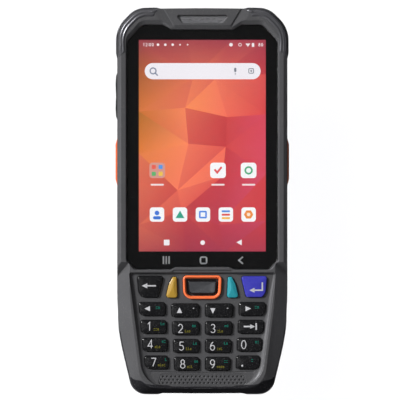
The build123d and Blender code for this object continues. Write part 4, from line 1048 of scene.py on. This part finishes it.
pale, tile, grey = (240, 236, 238), (246, 246, 248), (120, 124, 136)
digits = (("1", -23.9), ("2", -22.8), ("0", -21.3), ("0", -20.2), ("8", 23.3), ("0", 24.4))
screenThings = [     # sheet over the pattern, colour, shapes
    # status marks
    (1, pale, [disc(-22.0, y, 0.14, 8) for y in (63.5, 64.1)]),
    *[(1, pale, numeral(symbol, x, 63.8, 0.9, 1.4, 0.22)) for symbol, x in digits],
    *[(1, pale, [disc(x, 63.8, 0.55 if x < -10 else 0.35, 14)]) for x in (-18.1, -15.1, -12.1, -9.1, -6.0)],
    (1, pale, [disc(11.7, 63.8, 0.75, 16), hoop(15.4, 63.8, 0.7, 0.25, 16),
               [[(17.6, 64.3), (18.6, 62.9), (19.6, 64.3)]], roundedBar(20.2, 21.2, 62.9, 64.5, 0.2)]),
    # rounded bar
    (1, (238, 234, 240), [roundedBar(-23.5, 23.8, 49.7, 56.3, 3.3, 10)]),
    (2, (120, 128, 150), [hoop(-20.1, 53.1, 1.45, 0.5, 24), strokes([(-19.2, 52.2), (-18.2, 51.2)], 0.5)]),
    (2, grey, [roundedBar(13.0, 13.9, 52.6, 54.4, 0.45), strokes([(13.45, 52.2), (13.45, 51.6)], 0.35),
               roundedHoop(18.8, 21.1, 52.0, 54.2, 0.5, 0.35), disc(19.95, 53.1, 0.4, 12)]),
    # tiles, then their plain motifs
    *[thing for x, colour in ((-18.4, (214, 150, 140)), (6.4, tile), (18.9, tile)) for thing in (
        (1, colour, [roundedBar(x - 3.2, x + 3.2, 9.35, 15.65, 1.3, 6)]),
        (1, (240, 222, 222), [roundedBar(x - 2.7, x + 2.7, 6.3, 7.0, 0.3)]))],
    (1, tile, [roundedBar(x - 2.95, x + 2.95, -8.45, -2.6, 1.2, 6) for x in (-18.5, -9.1, 0.25, 9.6, 18.9)]),
    (2, (236, 96, 80), [square(-19.8, 13.9, 0.85, 0.4)]),
    (2, (86, 150, 226), [square(-17.0, 13.9, 0.85, 0.4)]),
    (2, (92, 178, 110), [square(-19.8, 11.1, 0.85, 0.4)]),
    (2, (240, 196, 80), [square(-17.0, 11.1, 0.85, 0.4)]),
    (2, (226, 74, 78), [strokes([(5.0, 12.9), (6.1, 11.6), (7.9, 13.9)], 0.8)]),
    (2, (70, 168, 120), [hoop(18.9, 12.5, 1.7, 0.7, 24)]),
    (2, (56, 116, 214), [disc(-18.5, -4.9, 0.95, 18), roundedBar(-20.1, -16.9, -7.5, -6.2, 0.6)]),
    (2, (46, 160, 134), [[[(-10.9, -7.0), (-7.3, -7.0), (-9.1, -3.9)]]]),
    (2, (66, 130, 228), [roundedHoop(-1.35, 1.85, -7.1, -4.0, 0.5, 0.65)]),
    (2, (222, 72, 62), [roundedBar(7.9, 11.3, -6.0, -5.2, 0.3)]),
    (2, (240, 180, 60), [roundedBar(7.9, 11.3, -7.4, -6.6, 0.3)]),
    (2, (80, 140, 220), [roundedBar(7.9, 11.3, -4.6, -3.8, 0.3)]),
    (2, (238, 142, 60), [disc(18.9, -5.5, 1.9, 6)]),
    (2, (250, 236, 220), [disc(18.9, -5.5, 0.8, 6)]),
    # soft buttons
    (1, pale, [roundedBar(-15.7, -13.4, -18.1, -15.8, 0.2), disc(0.15, -17.0, 0.95, 18),
               [[(13.9, -16.9), (16.1, -15.7), (16.1, -18.1)]]]),
]
shapes = wallFacets()
for level, colour, items in screenThings:
    shapes += [(faces, 0, paint(*colour), level * picture["sheet"]) for faces in items]
mesh = printedMesh("litPicture", shapes, picture["floor"], picture["floor"] + picture["sheet"])
plainObject("lit_picture", mesh, "housing", [litPicture()])
print("lit picture:", len(shapes), "shapes")


glassPrint = {
    "level": 22.886, "thickness": 0.008, "inset": 0.25, "step": 0.8,
    "overlap": 0.02,     # the border's reach over the picture's edge
    "markLevel": 22.8945, "markThickness": 0.004}


def windowRing(outer):
    # a point of the picture's edge for every point of the outline, straight towards it, and its corners
    halfX, halfY = (half - glassPrint["overlap"] for half in picture["half"])
    centre = Vector(picture["centre"])
    ring = []
    for point in outer:
        away = point - centre
        share = min(halfX / max(abs(away.x), 1e-6), halfY / max(abs(away.y), 1e-6))
        ring.append(centre + away * min(share, 1.0))
    for corner in ((-halfX, -halfY), (-halfX, halfY), (halfX, -halfY), (halfX, halfY)):
        corner = centre + Vector(corner)
        ring[min(range(len(ring)), key=lambda k: (ring[k] - corner).length)] = corner
    return ring


def glassLayer(name, piece, shapes, level, thickness, ink):
    shapes = [(faces, 0, noTint, 0.0) for faces in shapes]
    plainObject(piece, printedMesh(name, shapes, level, level + thickness), "housing", [ink])


outline = edgeLoop("cover_glass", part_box("cover_glass")[0].z, reach=1e-6, besideWall=True)
outer = evenRing(insetRing(outline, glassPrint["inset"]), glassPrint["step"])
border = band([tuple(p) for p in outer], [tuple(p) for p in windowRing(outer)])
glassLayer("glassBorder", "glass_border", [border], glassPrint["level"], glassPrint["thickness"],
           printedInk("borderBlack", (9, 9, 11)))
softMarks = [
    *[roundedBar(x - 0.3, x + 0.3, -25.7, -22.5, 0.1) for x in (-15.85, -14.7, -13.55)],
    roundedHoop(-1.05, 2.05, -25.8, -22.6, 0.9, 0.6),
    strokes([(16.6, -22.8), (14.9, -24.2), (16.6, -25.6)], 0.6)]
glassLayer("softMarks", "soft_marks", softMarks, glassPrint["markLevel"], glassPrint["markThickness"],
           printedInk("markGrey", (196, 198, 200), glow=0.1))
print("glass print done")


def makeRow(name, axis, fewer, inputs, makeItem):
    # copies of one small item in a straight row along an axis, turned about Z and put in place
    tree, start, end = newTree("Geometry", name, {
        "Count": ("Int", 10), "Pitch": 0.5 * mm, "Turn": 0.0, "Place": ("Vector", (0.0, 0.0, 0.0)),
        "Finish": ("Material", None), **inputs}, {"Geometry": "Geometry"})
    span = calc(tree, "MULTIPLY", calc(tree, "SUBTRACT", start["Count"], fewer), start["Pitch"])
    line = addNode(tree, "GeometryNodeMeshLine", {
        "Count": start["Count"], "Offset": addNode(tree, "ShaderNodeCombineXYZ", {axis: start["Pitch"]}),
        "Start Location": addNode(tree, "ShaderNodeCombineXYZ", {axis: calc(tree, "MULTIPLY", span, -0.5)})})
    items = addNode(tree, "GeometryNodeInstanceOnPoints", {
        "Points": line, "Instance": makeItem(tree, start)})
    put = addNode(tree, "GeometryNodeTransform", {
        "Geometry": items, "Translation": start["Place"],
        "Rotation": addNode(tree, "ShaderNodeCombineXYZ", {"Z": start["Turn"]})})
    real = addNode(tree, "GeometryNodeRealizeInstances", {"Geometry": put})
    finish = addNode(tree, "GeometryNodeSetMaterial", {"Geometry": real, "Material": start["Finish"]})
    feed(tree, end, {"Geometry": finish})
    return tree


def wireItem(tree, start):
    wire = addNode(tree, "GeometryNodeMeshCylinder", {
        "Vertices": 8, "Radius": start["Wire radius"], "Depth": start["Length"]})
    return addNode(tree, "GeometryNodeTransform", {"Geometry": wire, "Rotation": (0.0, math.pi / 2, 0.0)})


def padItem(tree, start):
    return addNode(tree, "GeometryNodeMeshCube", {"Size": start["Size"]})


def growMesh(tree, values):
    # runs a geometry tree with its inputs and gives back the plain mesh
    holder = newObject("holder", bpy.data.meshes.new("holder"))
    modifier = holder.modifiers.new("rows", "NODES")
    modifier.node_group = tree
    for item in tree.interface.items_tree:
        if item.item_type == "SOCKET" and item.in_out == "INPUT" and item.name in values:
            modifier[item.identifier] = values[item.name]
    bpy.context.view_layer.update()
    mesh = bpy.data.meshes.new_from_object(holder.evaluated_get(bpy.context.evaluated_depsgraph_get()))
    holder.modifiers.clear()
    bpy.data.objects.remove(holder)
    return mesh


def rowPiece(name, finish, tree, rows):
    # one plain mesh from one or more rows
    bm = bmesh.new()
    for values in rows:
        bm.from_mesh(growMesh(tree, {**values, "Finish": finish}))
    plainObject(name, toMesh(bm, name), "housing", [finish])


wireRow = makeRow("wireRow", "Y", 0.0, {"Length": 10 * mm, "Wire radius": 0.06 * mm}, wireItem)
padRow = makeRow("padRow", "X", 1.0, {"Size": ("Vector", (0.3 * mm, 2 * mm, 0.1 * mm))}, padItem)
gauze = {
    "pitch": 0.34, "wire": 0.08,
    "weave": 0.05,       # how far the cross wires lie above the others
    "ear": (21.0, 3.1), "speaker": (10.0, 10.0), "speakerPlace": (-15.0, 54.0, 1.6)}


def gauzePiece(name, x, y, z, size):
    rows = []
    for turn, (span, across), rise in ((0.0, size, 0.0), (math.pi / 2, size[::-1], gauze["weave"])):
        rows.append({
            "Count": round(across / gauze["pitch"]), "Pitch": gauze["pitch"] * mm, "Length": span * mm,
            "Wire radius": gauze["wire"] * mm, "Turn": turn, "Place": (x * mm, y * mm, (z + rise) * mm)})
    rowPiece(name, finishes["gauze_steel"], wireRow, rows)


earLow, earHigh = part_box("earpiece_grille")
gauzePiece("ear_gauze", 0.0, (earLow.y + earHigh.y) / 2 / mm, earHigh.z / mm + gauze["wire"], gauze["ear"])
gauzePiece("speaker_gauze", *gauze["speakerPlace"], gauze["speaker"])
contacts = {"count": 9, "pitch": 0.5, "size": (0.26, 3.6, 0.06), "depth": 4.0, "rise": 0.38}
portLow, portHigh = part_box("usb_port")
height = (portLow.z + portHigh.z) / 2 + contacts["rise"] * mm
rowPiece("port_contacts", finishes["contact_gold"], padRow, [{
    "Count": contacts["count"], "Pitch": contacts["pitch"] * mm,
    "Size": [side * mm for side in contacts["size"]],
    "Place": (0.0, portLow.y + contacts["depth"] * mm, height)}])
print("gauze and contacts done")


view = {
    "lens": 661.8, "place": (-0.94, 0.41, 3025.0),
    "floorHalf": 9.0, "floorHeight": -0.1}      # the floor's sizes are in metres
camera = bpy.data.cameras.new("camera")
camera.sensor_width = 36
camera.lens = view["lens"]
camera.clip_end = 50
viewer = newObject("camera", camera)
viewer.location = [along * mm for along in view["place"]]
scene.camera = viewer

floorMesh = bpy.data.meshes.new("floor")
corners = [(x * view["floorHalf"], y * view["floorHalf"], view["floorHeight"])
           for x, y in ((-1, -1), (1, -1), (1, 1), (-1, 1))]
floorMesh.from_pydata(corners, [], [(0, 1, 2, 3)])
floor = newObject("floor", floorMesh)
floorPaint = bpy.data.materials.new("floorPaint")
tree = emptyTree(floorPaint)
path = addNode(tree, "ShaderNodeLightPath").outputs
seen = calc(tree, "MAXIMUM", path["Is Camera Ray"], path["Is Glossy Ray"])
# pale where it is seen, weaker where it only lights the object, and clear from below
cover = addNode(tree, "ShaderNodeMixShader", {
    0: calc(tree, "MAXIMUM", seen, path["Is Transmission Ray"]),
    1: addNode(tree, "ShaderNodeBsdfDiffuse", {"Color": paint(146, 146, 148)}),
    2: addNode(tree, "ShaderNodeBsdfDiffuse", {"Color": paint(248, 248, 249)})})
oneSided = addNode(tree, "ShaderNodeMixShader", {
    0: addNode(tree, "ShaderNodeNewGeometry").outputs["Backfacing"], 1: cover,
    2: addNode(tree, "ShaderNodeBsdfTransparent")})
addNode(tree, "ShaderNodeOutputMaterial", {"Surface": oneSided})
floorMesh.materials.append(floorPaint)

lamps = {
    "key": {"from": (-1.15, 0.6, 0.8), "angle": 12.0, "power": 4.4},
    "fill": {"from": (-0.7, -1.2, 0.5), "angle": 16.0, "power": 0.5},
    "corner": {"from": (-0.9, 0.7, 0.5), "angle": 12.0, "power": 1.0},
    "cap": {"from": (-0.36, 0.18, 0.92), "angle": 24.0, "power": 0.3},
}
for name, lamp in lamps.items():
    light = bpy.data.lights.new(name, "SUN")
    light.angle = math.radians(lamp["angle"])
    light.energy = lamp["power"]
    lampObject = newObject(name, light)
    lampObject.rotation_mode = "QUATERNION"
    lampObject.rotation_quaternion = (-Vector(lamp["from"])).to_track_quat("-Z", "Y")

# the world's light from the horizon up to the zenith
room = [(0.0, (0.84, 0.84, 0.85, 1.0)), (0.06, (0.24, 0.24, 0.25, 1.0)),
        (0.6, (0.16, 0.16, 0.1632, 1.0)), (0.95, (0.1, 0.1, 0.102, 1.0))]
world = bpy.data.worlds.new("room")
scene.world = world
tree = emptyTree(world)
place = addNode(tree, "ShaderNodeTexCoord").outputs["Generated"]
height = addNode(tree, "ShaderNodeSeparateXYZ", {0: place}).outputs["Z"]
ramp = addNode(tree, "ShaderNodeValToRGB", {"Fac": height})
stops = ramp.color_ramp.elements
for k, (position, colour) in enumerate(room):
    stop = stops[k] if k < 2 else stops.new(position)
    stop.position, stop.color = position, colour
addNode(tree, "ShaderNodeOutputWorld", {"Surface": addNode(tree, "ShaderNodeBackground", {"Color": ramp})})
scene.view_settings.view_transform = "Standard"
print("camera, floor and light done")
